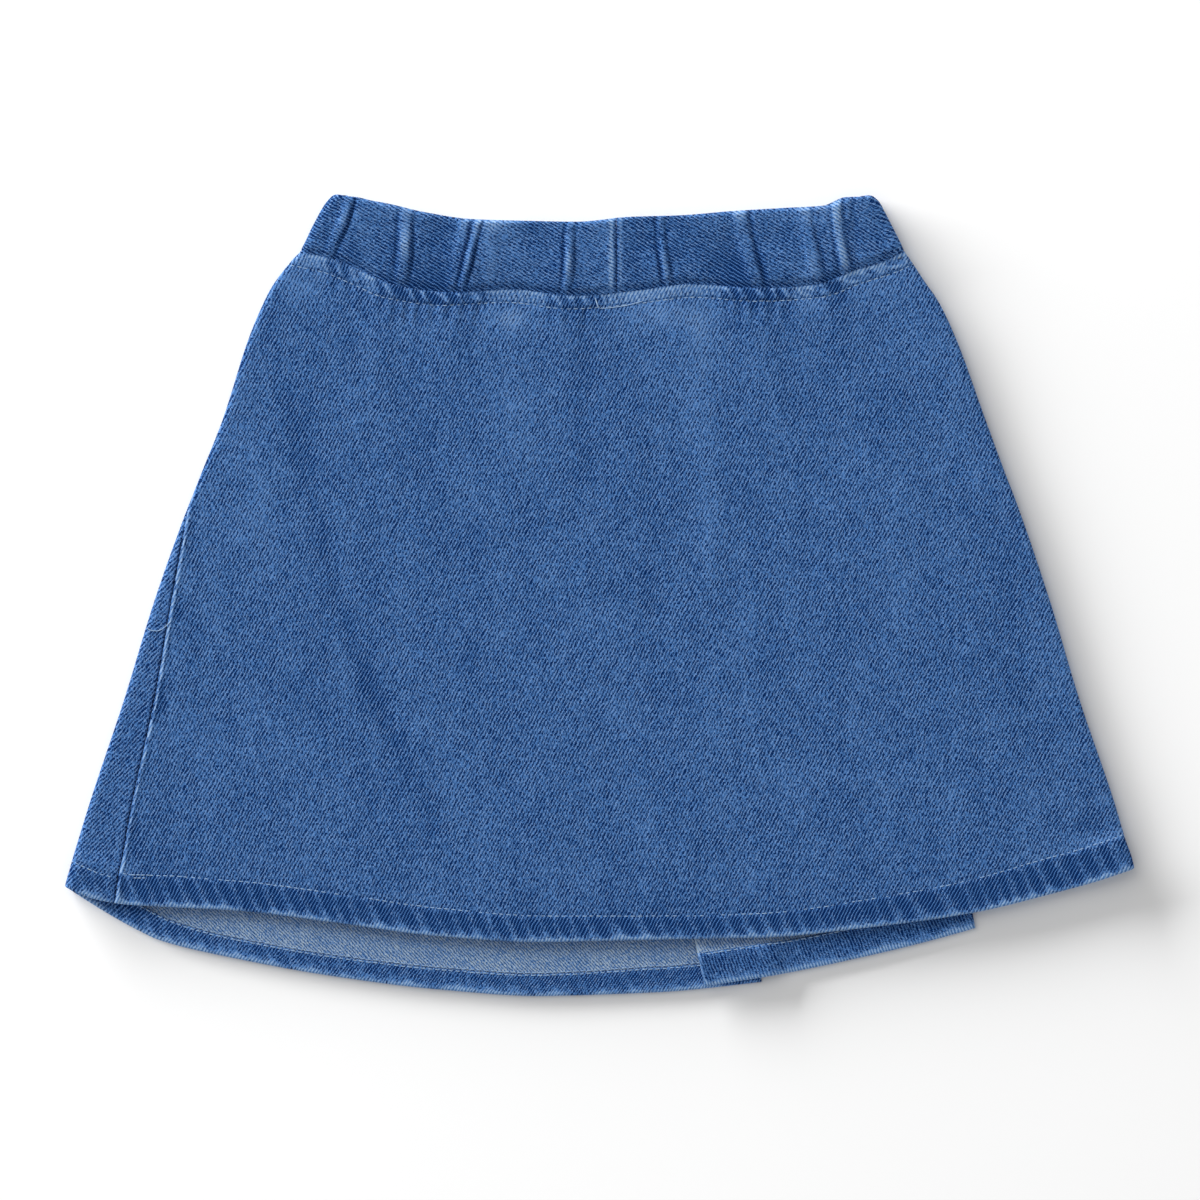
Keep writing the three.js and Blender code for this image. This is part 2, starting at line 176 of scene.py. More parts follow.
# Soft swells of the back below the waist, as in the solids
SWELLS = [
    (-88, -101, 0.3, 9, 0.7),
    (-60, -66, 0.22, 8, 0.6),
    (-14, -16, 0.26, 8, 0.5),
    (31, 36, 0.24, 9, 0.5),
    (64, 74, 0.34, 10, 0.7),
    (92, 107, 0.2, 8, 0.5),
]

# Soft troughs (below zero) and ridges of the back, from one pixel to another: half width and
# height in millimetres. Their colour follows them: painted shade in the troughs, painted
# highlights on the ridges
CREASES = [
    ((288, 390), (336, 584), 4.5, -0.4),
    ((336, 584), (358, 660), 4.0, -0.55),
    ((358, 660), (401, 752), 3.5, -0.75),
    ((401, 752), (440, 835), 4.5, -0.35),
    ((584, 325), (590, 478), 5.0, -0.3),
    ((698, 320), (712, 590), 6.0, 0.35),
    ((410, 420), (418, 480), 9.0, -0.3),
    ((455, 500), (470, 610), 8.0, -0.25),
    ((505, 320), (520, 470), 8.0, 0.3),
    ((640, 560), (668, 700), 9.0, -0.25),
    ((770, 330), (800, 420), 6.0, -0.3),
    ((880, 470), (905, 640), 10.0, 0.25),
    ((1000, 560), (1035, 760), 8.0, -0.25),
    ((150, 752), (330, 748), 5.0, 0.2),
    ((740, 776), (930, 778), 4.0, 0.22),
    ((250, 440), (262, 560), 8.0, 0.25),
    ((930, 330), (985, 500), 7.0, 0.3),
]

# Where the seam under the casing is puckered: from x to x, and how strongly
PUCKER_ZONES = [(-118, -98, 0.7), (-96, -46, 1.0), (-24, 2, 0.75), (27, 33, 0.5), (49, 83, 1.0),
                (88, 104, 0.8), (108, 124, 0.35)]

# Small pulled tucks just below the topstitching: x, length, half width, depth
TUCKS = [
    (-48.0, 7.5, 0.8, 0.55),
    (-21.0, 6.0, 0.7, 0.5),
    (-9.7, 7.0, 0.8, 0.5),
    (-6.2, 7.0, 0.7, 0.6),
    (-3.4, 4.5, 0.6, 0.4),
    (0.8, 5.0, 0.6, 0.4),
    (29.2, 6.0, 0.7, 0.6),
    (31.6, 3.5, 0.5, 0.3),
    (102.4, 9.0, 1.4, 0.6),
]

# Paler places of the back, where its wear shows, and darker ones, some of which are painted shade,
# as behind the left seam's lip: pixel across and down, radii in millimetres across and down, strength
# (below zero is darker)
WEAR_AND_SHADE_PATCHES = [
    (512, 317, 12, 7, 1.2),
    (664, 314, 26, 9, 1.1),
    (352, 342, 5, 10, -0.5),
    (445, 398, 6, 7, -0.4),
    (372, 462, 8, 8, -0.35),
    (961, 465, 6, 12, -0.35),
    (868, 350, 14, 12, 0.3),
    (800, 470, 22, 18, 0.2),
    (735, 322, 10, 7, -0.5),
    (809, 880, 14, 5, -0.4),
    (1098, 826, 8, 4, -0.8),
    (133, 835, 5, 9, -0.8),
    (184, 578, 4, 7, 0.8),
    (148, 728, 4, 6, 0.9),
    (810, 300, 9, 5, 0.8),
    (300, 285, 12, 8, 0.8),
    (880, 285, 14, 7, 0.7),
    (705, 360, 7, 24, 0.45),
    (240, 380, 8, 40, 0.35),
    (440, 296, 22, 5, -0.6),
    (580, 305, 11, 6, -0.5),
    (750, 296, 16, 6, -0.8),
    (836, 288, 7, 7, -0.7),
    (300, 480, 7, 35, -0.25),
    (370, 690, 7, 25, -0.3),
    (640, 907, 50, 6, -0.5),
    (850, 905, 50, 5, -0.25),
    (1100, 841, 12, 4, 0.9),
    (1050, 853, 10, 3, 0.5),
    (1120, 828, 3, 10, 0.9),
    (1129, 853, 2.6, 8, 3.6),
    (179, 614, 1.6, 3, -1.6),
    (163, 697, 2, 6, -1.6),
    (157, 708, 2, 3.5, -1.4),
    (126, 868, 5, 6, 0.8),
    (126, 890, 4, 8, 0.8),
    (142, 885, 4, 7, -1.0),
    (141, 855, 6, 12, -0.6),
]
# The same of the casing's back, whose patches are all darker
BAND_DARK_PATCHES = [
    (475, 252, 6, 7, -1.2),
    (570, 246, 5, 6, -0.5),
    (706, 250, 7, 7, -0.6),
    (810, 243, 9, 8, -1.3),
]


def ease(value):
    value = np.clip(value, 0, 1)
    return value * value * (3 - 2 * value)


def mix(a, b, share):
    return a + (b - a) * share


def bow(share):
    return 4 * share * (1 - share)


def hump(distance, width):
    return np.exp(-((distance / width) ** 2))


def curve(places, values):
    """A smooth curve through rows of a table, with no overshoot between them."""
    x, y = np.array(places, float), np.array(values, float)
    rise = np.diff(y) / np.diff(x)
    before, after = np.r_[rise[0], rise], np.r_[rise, rise[-1]]
    both = np.where(before * after > 0, before + after, 1)
    slope = np.where(before * after > 0, 2 * before * after / both, 0)

    def read(value):
        i = np.clip(np.searchsorted(x, value) - 1, 0, len(x) - 2)
        span = x[i + 1] - x[i]
        t = np.clip((value - x[i]) / span, 0, 1)
        bend = span * t * (1 - t) * (slope[i] * (1 - t) - slope[i + 1] * t)
        return mix(y[i], y[i + 1], t * t * (3 - 2 * t)) + bend

    return read


left_side = curve(SIDES[:, 0], SIDES[:, 1])
right_side = curve(SIDES[:, 0], SIDES[:, 2])
left_seam = curve(*LEFT_SEAM.T)
hem_depths = {"back": curve(*BACK_HEM.T), "wrap": curve(*WRAP_HEM.T)}
dip = {name: curve(DIPS[:, 0], DIPS[:, i]) for i, name in enumerate(DIP_NAMES) if i}


def straight(edge):
    return lambda y: mix(edge[0], edge[1], (EDGE_YS[0] - y) / (EDGE_YS[0] - EDGE_YS[1]))


right_seam, wrap_edge, under_edge = map(straight, (RIGHT_SEAM, WRAP_EDGE, UNDER_EDGE))


def smooth_noise(x, y, size, seed):
    """A smooth random field of about unit height, whose bumps are about size across."""
    rng = np.random.default_rng(seed)
    total = 0
    for _ in range(7):
        turn, phase = rng.uniform(0, 2 * math.pi, 2)
        wave = 2 * math.pi / (size * rng.uniform(1.2, 2.6))
        total += np.sin(wave * (x * math.cos(turn) + y * math.sin(turn)) + phase)
    return total / 2.6


def corner(down, radius):
    """How far the casing's folded end is rounded off near its top edge."""
    from_top = np.clip(down * (BAND_TOP - WAIST) / radius, 0, 1)
    return radius * (1 - np.sqrt(np.clip(1 - (1 - from_top) ** 2, 0, 1))) * 0.8


# A tube is the flattened loop of one part of the skirt. down runs from 0 at its upper edge to
# 1 at its lower one, and going is the distance round the loop from the left fold's tip: first
# over the back, then beneath.
class Tube:
    def __init__(self, wall, top, left_low, right_low, radius, upper, lower):
        self.wall, self.top, self.radius = wall, top, radius
        self.left_low, self.right_low = left_low, right_low
        self.upper, self.lower = upper, lower

    def loop(self, down):
        left_y, right_y = mix(self.top, self.left_low, down), mix(self.top, self.right_low, down)
        left = left_side(left_y) + self.wall / 2
        right = right_side(right_y) - self.wall / 2
        if self.wall == BAND_WALL:
            left, right = left + corner(down, 2.5), right - corner(down, 5.0)
        radius = self.radius(down)
        quarter = radius * math.pi / 2
        return {
            "left_y": left_y, "right_y": right_y, "left": left, "right": right,
            "radius": radius, "quarter": quarter,
            "half": right - left - 2 * radius + 2 * quarter,
        }


def sunk_edge(name):
    return lambda share, beneath: dip[name](share) + beneath * FRONT_SINK[name] * bow(share)


def fold_radius(down):
    return mix(FOLD_RADIUS, HEM_FOLD_RADIUS, ease((down - HEM_FLARE) / FLARE_OVER))


def skirt_tube(lower):
    return Tube(1.0, WAIST, LEFT_HEM, RIGHT_HEM, fold_radius, sunk_edge("waist"), lower)


TUBES = {
    "back": skirt_tube(lambda share, beneath: dip["back"](share)),
    "wrap": skirt_tube(lambda share, beneath: np.where(beneath, dip["wrap"](share), dip["back"](share))),
    "under": skirt_tube(lambda share, beneath: dip["under"](share)),
    "band": Tube(BAND_WALL, BAND_TOP, WAIST + GAP, WAIST + GAP,
                 lambda down: BAND_FOLD_RADIUS + 0 * down, sunk_edge("top"), sunk_edge("waist")),
}


def going_to(ring, x, beneath):
    along = x - ring["left"] - ring["radius"] + ring["quarter"]
    return 2 * ring["half"] - along if beneath else along


def under_lift(x, y, share):
    on_wrap = 1 - ease((x - wrap_edge(y) - EDGE_CLEAR) / OVERLAP_RAMP)
    wrap_hem = mix(LEFT_HEM, RIGHT_HEM, share) - dip["wrap"](share) + HEM_DEPTH["wrap"]
    on_hem = ease((wrap_hem + HEM_CLEAR[0] - y) / HEM_CLEAR[1])
    return on_wrap * (1.0 + GAP) * (1 + on_hem)


def swell(x, down):
    total = 0
    for seam, end, reach, width, height in SWELLS:
        middle = mix(seam, end, np.clip(down / reach, 0, 1))
        total += height * hump(x - middle, width) * (1 - ease(down / reach))
    return total


def place(name, down, going):
    """The middle of the wall at places of a piece, and where each lies on its row."""
    tube = TUBES[name]
    ring = tube.loop(down)
    half, quarter, radius = ring["half"], ring["quarter"], ring["radius"]
    at = np.mod(going, 2 * half)
    beneath = at > half
    along = np.where(beneath, 2 * half - at, at)
    left_turn, right_turn = along < quarter, along > half - quarter
    angle = np.where(left_turn, along, np.where(right_turn, half - along, quarter)) / radius
    x = np.where(
        left_turn, ring["left"] + radius * (1 - np.cos(angle)),
        np.where(right_turn, ring["right"] - radius * (1 - np.cos(angle)),
                 ring["left"] + radius + along - quarter),
    )
    rise = radius * np.sin(angle)
    share = np.clip((x - ring["left"]) / (ring["right"] - ring["left"]), 0, 1)
    fall = mix(tube.upper(share, beneath), tube.lower(share, beneath), down)
    y = mix(ring["left_y"], ring["right_y"], share) - fall
    z = tube.wall / 2 + radius + np.where(beneath, -rise, rise)
    if name != "band":
        from_fold = np.minimum(x - ring["left"], ring["right"] - x)
        inwards = np.where(beneath, 0, ease((from_fold - SAG_START) / SAG_REACH))
        z = z - 2 * (radius - FOLD_RADIUS) * inwards + swell(x, down) * inwards
    if name == "under":
        z += under_lift(x, y, share) * beneath
    info = {"beneath": beneath, "share": share, "ring": ring, "tilt": rise / radius}
    return np.stack([x, y, z], -1), info


def going_at_edge(name, down, edge):
    """Distance round the loop where a piece meets an edge that depends on y."""
    y = mix(WAIST, LEFT_HEM, down)
    for _ in range(6):
        going = edge(y, TUBES[name].loop(down))
        y = place(name, down, going)[0][..., 1]
    return going


def between(stops, steps):
    """Places along each row, with a number of equal steps between each two stops."""
    at = [np.array(stop, float) for stop in np.broadcast_arrays(*stops)]
    for i in range(1, len(at) - 1):
        at[i] = np.maximum(at[i], at[i - 1] + CROWD * steps[i - 1])
    for i in range(len(at) - 2, 0, -1):
        at[i] = np.minimum(at[i], at[i + 1] - CROWD * steps[i])
    rows = [at[0][:, None]]
    for i, count in enumerate(steps):
        share = np.arange(1, count + 1) / count
        rows.append(at[i][:, None] + (at[i + 1] - at[i])[:, None] * share)
    return np.concatenate(rows, 1)


def edge_beneath(edge, offset=0):
    """Distance round the loop of an edge beneath, which lies right of edge by an offset."""
    return lambda y, ring: going_to(ring, edge(y) + offset, True)


# Places along the rows of each panel
def back_places(down):
    ring = TUBES["back"].loop(down)
    quarter, half = ring["quarter"], ring["half"]
    start = going_at_edge("back", down, lambda y, r: left_seam(y) + GAP / 2)
    finish = going_at_edge("back", down, edge_beneath(right_seam, GAP / 2))
    left_stops = [start, -quarter, quarter, NEAR_FOLD]
    right_stops = [half - NEAR_FOLD, half - quarter, half + quarter, finish]
    return between(left_stops + right_stops, [3, 7, 30, 195, 26, 10, 26])


def wrap_places(down):
    ring = TUBES["wrap"].loop(down)
    start = going_at_edge("wrap", down, lambda y, r: going_to(r, wrap_edge(y), True) - 2 * r["half"])
    finish = going_at_edge("wrap", down, lambda y, r: left_seam(y) - GAP / 2)
    stops = [start, -NEAR_FOLD, -ring["quarter"], ring["quarter"], finish]
    return between(stops, [110, 30, 10, 16])


def under_places(down):
    start = going_at_edge("under", down, edge_beneath(right_seam, -GAP / 2))
    ramp = going_at_edge("under", down, edge_beneath(wrap_edge, EDGE_CLEAR + OVERLAP_RAMP))
    top = going_at_edge("under", down, edge_beneath(wrap_edge, EDGE_CLEAR))
    finish = going_at_edge("under", down, edge_beneath(under_edge))
    return between([start, ramp, top, finish], [50, 14, 34])


# Relief: what stands proud of each piece's smooth form, in millimetres, and its wear and shade:
# paler where rubbed, with painted shade in hollows and painted highlights on ridges
def pucker_strength(x):
    total = np.zeros_like(x)
    for low, high, strength in PUCKER_ZONES:
        total = np.maximum(total, strength * ease((x - low) / 5) * ease((high - x) / 5))
    return total


ROPE_PITCH = 7.0
ROPE_LEAN = 0.65
ROPE_HEIGHT = 1.15
FINE_PITCH = 2.3  # of the small ridges where the seam isn't puckered
FINE_LEAN = 0.3
WELT_PUFF = 0.5
WELT_RIM = 1.2  # how far from its edges the seam allowance has its full height
TAIL_REACH = 13  # how far the puckers go on below the topstitching
TAIL_PITCH = 6.1


def welt_relief(x, below):
    """The stitched seam allowance under the casing. below is the distance from the seam."""
    inside = (below > 0) & (below < WELT_DEPTH + 1)
    puff = WELT_PUFF * np.sqrt(np.clip(bow(np.clip(below / WELT_DEPTH, 0, 1)), 0, 1))
    strength = pucker_strength(x) * (0.8 + 0.25 * smooth_noise(x, below, 7, 6))
    wander = 1.5 * smooth_noise(x, 0 * x, 11, 5)
    phase = 2 * math.pi * (x - ROPE_LEAN * below) / ROPE_PITCH + wander
    rope = (0.5 + 0.5 * np.sin(phase)) ** 1.8
    fine_phase = 2 * math.pi * (x - FINE_LEAN * below) / FINE_PITCH + wander
    fine = (0.5 + 0.5 * np.sin(fine_phase)) ** 2
    ridges = strength * rope + 0.3 * (1 - strength) * fine
    band = ease(below / WELT_RIM) * ease((WELT_DEPTH - below) / WELT_RIM)
    groove = -0.3 * hump(below - WELT_DEPTH - 0.2, 0.7)
    height = puff * inside + ROPE_HEIGHT * band * (ridges - 0.4) + groove
    # Colour: darker where the seam is puckered, in the ropes' valleys and along the groove at the welt's
    # foot, all painted shade; paler on the ropes' crests, partly wear and partly painted highlight, and
    # along a rubbed line near the seam
    wear_and_shade = band * (1.9 - 3.2 * strength + 4.8 * (ridges - 0.3))
    wear_and_shade = wear_and_shade - 0.8 * hump(below - WELT_DEPTH, 0.9) * (0.3 + strength)
    wear_and_shade += 2.0 * hump(below - 0.9, 0.6) * (0.6 + 0.4 * smooth_noise(x, 0 * x, 9, 7))
    # Below the topstitching the puckers' drops are painted paler and darker with their relief, as painted
    # light and shade
    tail = ease((below - WELT_DEPTH) / 1.5) * (1 - ease((below - WELT_DEPTH) / TAIL_REACH))
    drop = np.sin(2 * math.pi * x / TAIL_PITCH + 1.4 * smooth_noise(x, 0 * x, 20, 9))
    height += 0.6 * tail * strength * drop
    return height, wear_and_shade + 0.7 * tail * strength * drop


def tuck_relief(x, below):
    height = np.zeros_like(x)
    for middle, length, width, depth in TUCKS:
        reach = (below - WELT_DEPTH) / length
        window = ease(reach * 6) * (1 - ease(reach))
        height = height - depth * window * hump(x - middle, width)
        height += 0.5 * depth * window * hump(x - middle - 1.9 * width, width)
    # The tucks' colour follows their relief: painted shade in each tuck, and a painted highlight on the
    # bump beside it
    return height, 2.4 * height


def crease_relief(x, y):
    total = np.zeros_like(x)
    for start, end, width, height in CREASES:
        (x0, y0), (x1, y1) = from_pixel(*start), from_pixel(*end)
        dx, dy = x1 - x0, y1 - y0
        length = math.hypot(dx, dy)
        along = ((x - x0) * dx + (y - y0) * dy) / length
        across = ((x - x0) * dy - (y - y0) * dx) / length
        window = ease((along + width) / (2 * width)) * ease((length + width - along) / (2 * width))
        total += height * window * hump(across + 0.12 * width * np.sin(along / 9), width)
    return total


def tone_patches(places, x, y):
    total = np.zeros_like(x)
    for px, py, wide, high, strength in places:
        x0, y0 = from_pixel(px, py)
        total += strength * np.exp(-(((x - x0) / wide) ** 2) - ((y - y0) / high) ** 2)
    return total


HEM_ROPE_PITCH = 7.6
HEM_ROPE_LEAN = 0.45
HEM_ROPE_HEIGHT = 0.24
HEM_STEP = 0.22  # how much thicker the turned cloth is
FRINGE_WEAR = 3.3
FRINGE_WIDTH = 2.7


def stitch_depth(name, x):
    """Distance of the hem's stitching from its edge."""
    return hem_depths[name](x) if name in hem_depths else HEM_DEPTH[name] - 0.5 + 0 * x


# The seed of each hem's roping, how much darker the hem is than its panel, and how strongly the
# roping shades it
HEM_LOOKS = {"back": (21, 1.4, 1.7), "wrap": (31, 0.85, 0.8), "under": (41, 0.9, 0.5)}


def hem_relief(name, x, above):
    """The turned hem, where above is the distance from its edge: roped between edge and stitch."""
    depth = stitch_depth(name, x) + 0.5
    seed, darker, roping = HEM_LOOKS[name]
    inside = ease(above / 1.5) * ease((depth - above) / 2.5)
    wander = 2.2 * smooth_noise(x, 0 * x, 24, seed)
    wave = np.sin(2 * math.pi * (x + HEM_ROPE_LEAN * above) / HEM_ROPE_PITCH + wander)
    strength = 0.75 + 0.25 * smooth_noise(x, 0 * x, 40, seed + 1)
    groove = -0.3 * hump(above - depth + 0.4, 0.7)
    step = HEM_STEP * ease((depth - above) / 1.4)
    patch = np.sign(wave) * np.abs(wave) ** 0.7 * strength
    height = HEM_ROPE_HEIGHT * inside * wave * strength + groove + step
    fringe = hump(above, FRINGE_WIDTH) * (0.75 + 0.35 * smooth_noise(x, 0 * x, 12, seed + 2))
    wear_and_shade = roping * inside * (patch - 0.1) + FRINGE_WEAR * fringe - darker * inside
    wear_and_shade += 0.3 * hump(above - depth - 1.6, 1.1) * (0.6 + 0.4 * wave)
    return height, wear_and_shade


def seam_lip(distance, lip):
    """The rounded edge of a panel at a side seam: it drops into the seam, and is worn."""
    height = -0.5 * hump(distance, 0.45) + 0.4 * hump(distance - 1.3, 1.0) * lip
    return height, lip * 3.9 * hump(distance - 0.9, 0.55) - 0.5 * hump(distance, 0.4)


def panel_relief(name, xyz, info, down, going, edges):
    """Distance out along the normal, wear and shade of a panel at its places."""
    x, y = xyz[..., 0], xyz[..., 1]
    top = np.where(info["beneath"], 0.0, np.clip(info["tilt"], 0, 1))
    below = down * SKIRT_LENGTH
    above = (1 - down) * (SKIRT_LENGTH + HEM_DIP[name])
    height, wear_and_shade = np.zeros_like(x), np.zeros_like(x)
    for extra, rub_and_shade in (welt_relief(x, below), tuck_relief(x, below)):
        height, wear_and_shade = height + extra * top, wear_and_shade + rub_and_shade
    hem, hem_worn = hem_relief(name, x, above)
    height, wear_and_shade = height + hem * np.where(info["beneath"], 0.25, top), wear_and_shade + hem_worn
    from_tip = np.minimum(x - info["ring"]["left"], info["ring"]["right"] - x)
    wear_and_shade += 0.4 * hump(from_tip, 2.0) * (0.6 + 0.4 * smooth_noise(x, y, 24, 8))
    if name == "back":
        creases = crease_relief(x, y)
        ripple = 0.1 * smooth_noise(x, y, 26, 3) + 0.05 * smooth_noise(x, y, 9, 4)
        fade_out = ease((above - 6) / 20) * ease((below - 4) / 14)
        height += (creases + ripple * fade_out) * top
        # The creases paint shade into the troughs and highlights onto the ridges; the patches add wear
        # and painted shade
        wear_and_shade += (tone_patches(WEAR_AND_SHADE_PATCHES, x, y) + 1.4 * creases) * top
    distance = going - edges[0] if name == "back" else edges[1] - going
    if name != "under":
        lip, lip_worn = seam_lip(distance, 1.0 if name == "back" else 0.15)
        along_seam = 0.6 + 0.5 * smooth_noise(y, 0 * y, 3.4, 13)
        height, wear_and_shade = height + lip * np.maximum(top, 0.3), wear_and_shade + lip_worn * along_seam
    if name == "under":
        wear_and_shade += 2.4 * hump(distance, 1.0)
    if name == "wrap":
        # The wrap is painted darker towards its free edge beneath: painted shadow of the hems that lie
        # over it
        wear_and_shade = wear_and_shade - 1.6 * (1 - ease((going - edges[0]) / 26))
    return height, wear_and_shade


RIDGE_SHARE = 1.1  # a ridge's half width, as a share of its gather's


def band_relief(xyz, info, down):
    """The casing's gathers, with pillows between them, and its rounded edges."""
    x = xyz[..., 0]
    above, beneath = ~info["beneath"], info["beneath"]
    height, wear_and_shade = np.zeros_like(x), np.zeros_like(x)
    swing = 0.55 + 0.45 * np.sin(math.pi * np.clip(down, 0, 1))
    for side, rows in ((above, BACK_GATHERS), (beneath, FRONT_GATHERS)):
        for seam, top, width, tall, left, right in rows:
            width = RIDGE_SHARE * width
            across = x - mix(top, seam, down) - 0.35 * np.sin(down * 5 + seam)
            ridge = np.exp(-np.abs(across / width) ** 3.2)
            soft = 0.2 * width + 0.35
            creases = left * hump(across + 1.2 * width, soft) + right * hump(across - 1.2 * width, soft)
            along = 0.85 + 0.3 * np.sin(2.2 * math.pi * down + seam)
            lean = np.sign(left - right) * 2.4 * width
            slope = 0.4 * hump(across + lean, 2.6 * width)
            if side is beneath:
                ridge, slope, creases = -ridge, -slope, creases * 0.4
            height += side * along * (tall * swing * (ridge + slope) - 1.2 * creases)
            # The gathers' colour follows their relief: painted highlights on the ridges and their broad
            # slopes, painted shade in the creases beside them
            wear_and_shade += side * along * (0.8 * tall * (ridge + slope) - 2.4 * creases)
    puff = 0.42 * smooth_noise(x, 12 * down, 17, 11) + 0.12 * smooth_noise(x, 25 * down, 8, 12)
    height += above * (puff + 0.3)
    shaded = 0.8 * pucker_strength(x) * ease((down - 0.35) / 0.5)
    # The pillows are painted paler and darker with their height, and the puckered foot darker: painted
    # light and shade
    wear_and_shade += (puff + tone_patches(BAND_DARK_PATCHES, x, xyz[..., 1]) - shaded) * above
    join = hump(x - JOIN, 0.55) * above
    height, wear_and_shade = height - 0.9 * join, wear_and_shade - 0.9 * join
    wear_and_shade += 1.3 * (hump(x - JOIN + 2.2, 1.1) + hump(x - JOIN - 1.8, 0.8)) * above
    return height * np.clip(info["tilt"], 0, 1), wear_and_shade


def unit(vectors):
    return vectors / np.linalg.norm(vectors, axis=-1, keepdims=True)


NUDGE = 0.02  # half the distance, round the loop, that a direction is taken over
NUDGE_DOWN = 0.0005  # the same down the piece, as a share of it
END_CLEAR = 0.0006  # how far inside a piece's ends directions are taken


def directions(name, down, going):
    """The outward normal, and the way down the cloth, at places of a piece."""
    ahead = place(name, down, going + NUDGE)[0] - place(name, down, going - NUDGE)[0]
    below = place(name, down + NUDGE_DOWN, going)[0] - place(name, down - NUDGE_DOWN, going)[0]
    return unit(np.cross(below, ahead)), unit(below)


# Cloth coordinates: where each place lies on the flat cloth, so that the weave runs true
FOLD_LEAN = {"left": math.radians(19.2), "right": math.radians(-19.4)}


def unfolded(xyz, info, side):
    """Places beneath are mirrored about a side fold, as the cloth goes round it."""
    x, y = xyz[..., 0], xyz[..., 1]
    tip_x, tip_y = info["ring"][side], info["ring"][side + "_y"]
    dx, dy = x - tip_x, y - tip_y
    c, s = math.cos(2 * FOLD_LEAN[side]), math.sin(2 * FOLD_LEAN[side])
    mirrored_x, mirrored_y = tip_x - c * dx + s * dy, tip_y + s * dx + c * dy
    return np.where(info["beneath"], mirrored_x, x), np.where(info["beneath"], mirrored_y, y)


def turned(u, v, degrees, size=1.0):
    """Cloth coordinates with the grain leaning right by some degrees."""
    angle = math.radians(degrees)
    c, s = math.cos(angle) / size, math.sin(angle) / size
    return u * c - v * s, u * s + v * c


# Mesh making
def new_mesh(name, points, quads, materials, slots, layers):
    """A piece from points in the drawing's millimetres, with cloth coordinates, and wear with painted
    light and shade.
    """
    mesh = bpy.data.meshes.new(name)
    flat = (np.asarray(points, float) - (*CENTRE, 0)) * MM
    mesh.from_pydata(flat.tolist(), [], quads.tolist())
    for material in materials:
        mesh.materials.append(material)
    mesh.polygons.foreach_set("material_index", np.asarray(slots, dtype=np.int32))
    mesh.update(calc_edges=True)
    mesh.validate()
    mesh.polygons.foreach_set("use_smooth", np.ones(len(mesh.polygons), dtype=bool))
    for label, values in layers.items():
        kind, field = ("FLOAT_VECTOR", "vector") if values.ndim == 2 else ("FLOAT", "value")
        layer = mesh.attributes.new(label, kind, "POINT")
        layer.data.foreach_set(field, values.ravel().astype(np.float32))
    piece = bpy.data.objects.new(name, mesh)
    bpy.context.scene.collection.objects.link(piece)
    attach(piece, "root")
    return piece


def wall_quads(rows, columns):
    """The faces of a closed wall: outer, inner, then its rim."""
    grid = np.arange(rows * columns).reshape(rows, columns)
    a, b, c, d = grid[:-1, :-1], grid[1:, :-1], grid[1:, 1:], grid[:-1, 1:]
    outer = np.stack([a, b, c, d], -1).reshape(-1, 4)
    inner = np.stack([a, d, c, b], -1).reshape(-1, 4) + rows * columns
    rim = np.concatenate([grid[:-1, 0], grid[-1, :-1], grid[:0:-1, -1], grid[0, :0:-1]])
    following = np.roll(rim, -1)
    edge = np.stack([following, rim, rim + rows * columns, following + rows * columns], -1)
    return outer, inner, edge


def shell(name, outer, inner, maps, wear_and_shade, material):
    """A closed wall between two grids of points, with the cloth coordinates of each."""
    faces = wall_quads(*wear_and_shade.shape)
    slots = np.repeat([0, 1, 0], [len(quads) for quads in faces])
    points = np.concatenate([outer.reshape(-1, 3), inner.reshape(-1, 3)])
    cloth = [np.stack([u, v, 0 * u], -1).reshape(-1, 3) for u, v in maps]
    layers = {"cloth": np.concatenate(cloth), "wear_and_shade": np.tile(wear_and_shade.ravel(), 2)}
    return new_mesh(name, points, np.concatenate(faces), [material, INSIDE], slots, layers)


def build_wall(name, material):
    """A panel as a thin shell that turns up inside at its hem. Each row has its own place down
    the panel, how far its path has turned and how far inward it lies."""
    down, turn, inward = hem_path(name)
    grain, inner_grain = GRAINS[name]
    going = PLACES[name](down)
    d = np.repeat(down[:, None], going.shape[1], 1)
    if name == "wrap":
        folded = (turn == math.pi)[:, None]
        depth = stitch_depth(name, place(name, d, going)[0][..., 0]) + 0.5
        d = np.where(folded, 1 - (1 - d) * depth / HEM_DEPTH[name], d)
    xyz, info = place(name, d, going)
    normal, along = directions(name, np.clip(d, 0, 1 - END_CLEAR), going)
    relief, wear_and_shade = panel_relief(name, xyz, info, d, going, (going[:, :1], going[:, -1:]))
    path_normal = normal * np.cos(turn)[:, None, None] + along * np.sin(turn)[:, None, None]
    middle = xyz + normal * (relief - inward[:, None])[..., None]
    outer, inner = middle + path_normal * CLOTH / 2, middle - path_normal * CLOTH / 2
    fold = "left" if name == "wrap" else "right"
    u, v = unfolded(xyz, info, fold)
    longer = TUBES[name].loop(np.ones_like(d))["half"] - info["ring"]["half"]
    at_edge = place(name, np.ones_like(d), going + longer * (name == "under"))
    edge_u, edge_v = unfolded(*at_edge, fold)
    turned_up = (turn > math.pi / 2)[:, None]
    u, v = np.where(turned_up, 2 * edge_u - u, u), np.where(turned_up, 2 * edge_v - v, v)
    maps = turned(u, v, grain), turned(u, v, *inner_grain)
    return shell(LABELS[name] + "_cloth", outer, inner, maps, wear_and_shade, material)


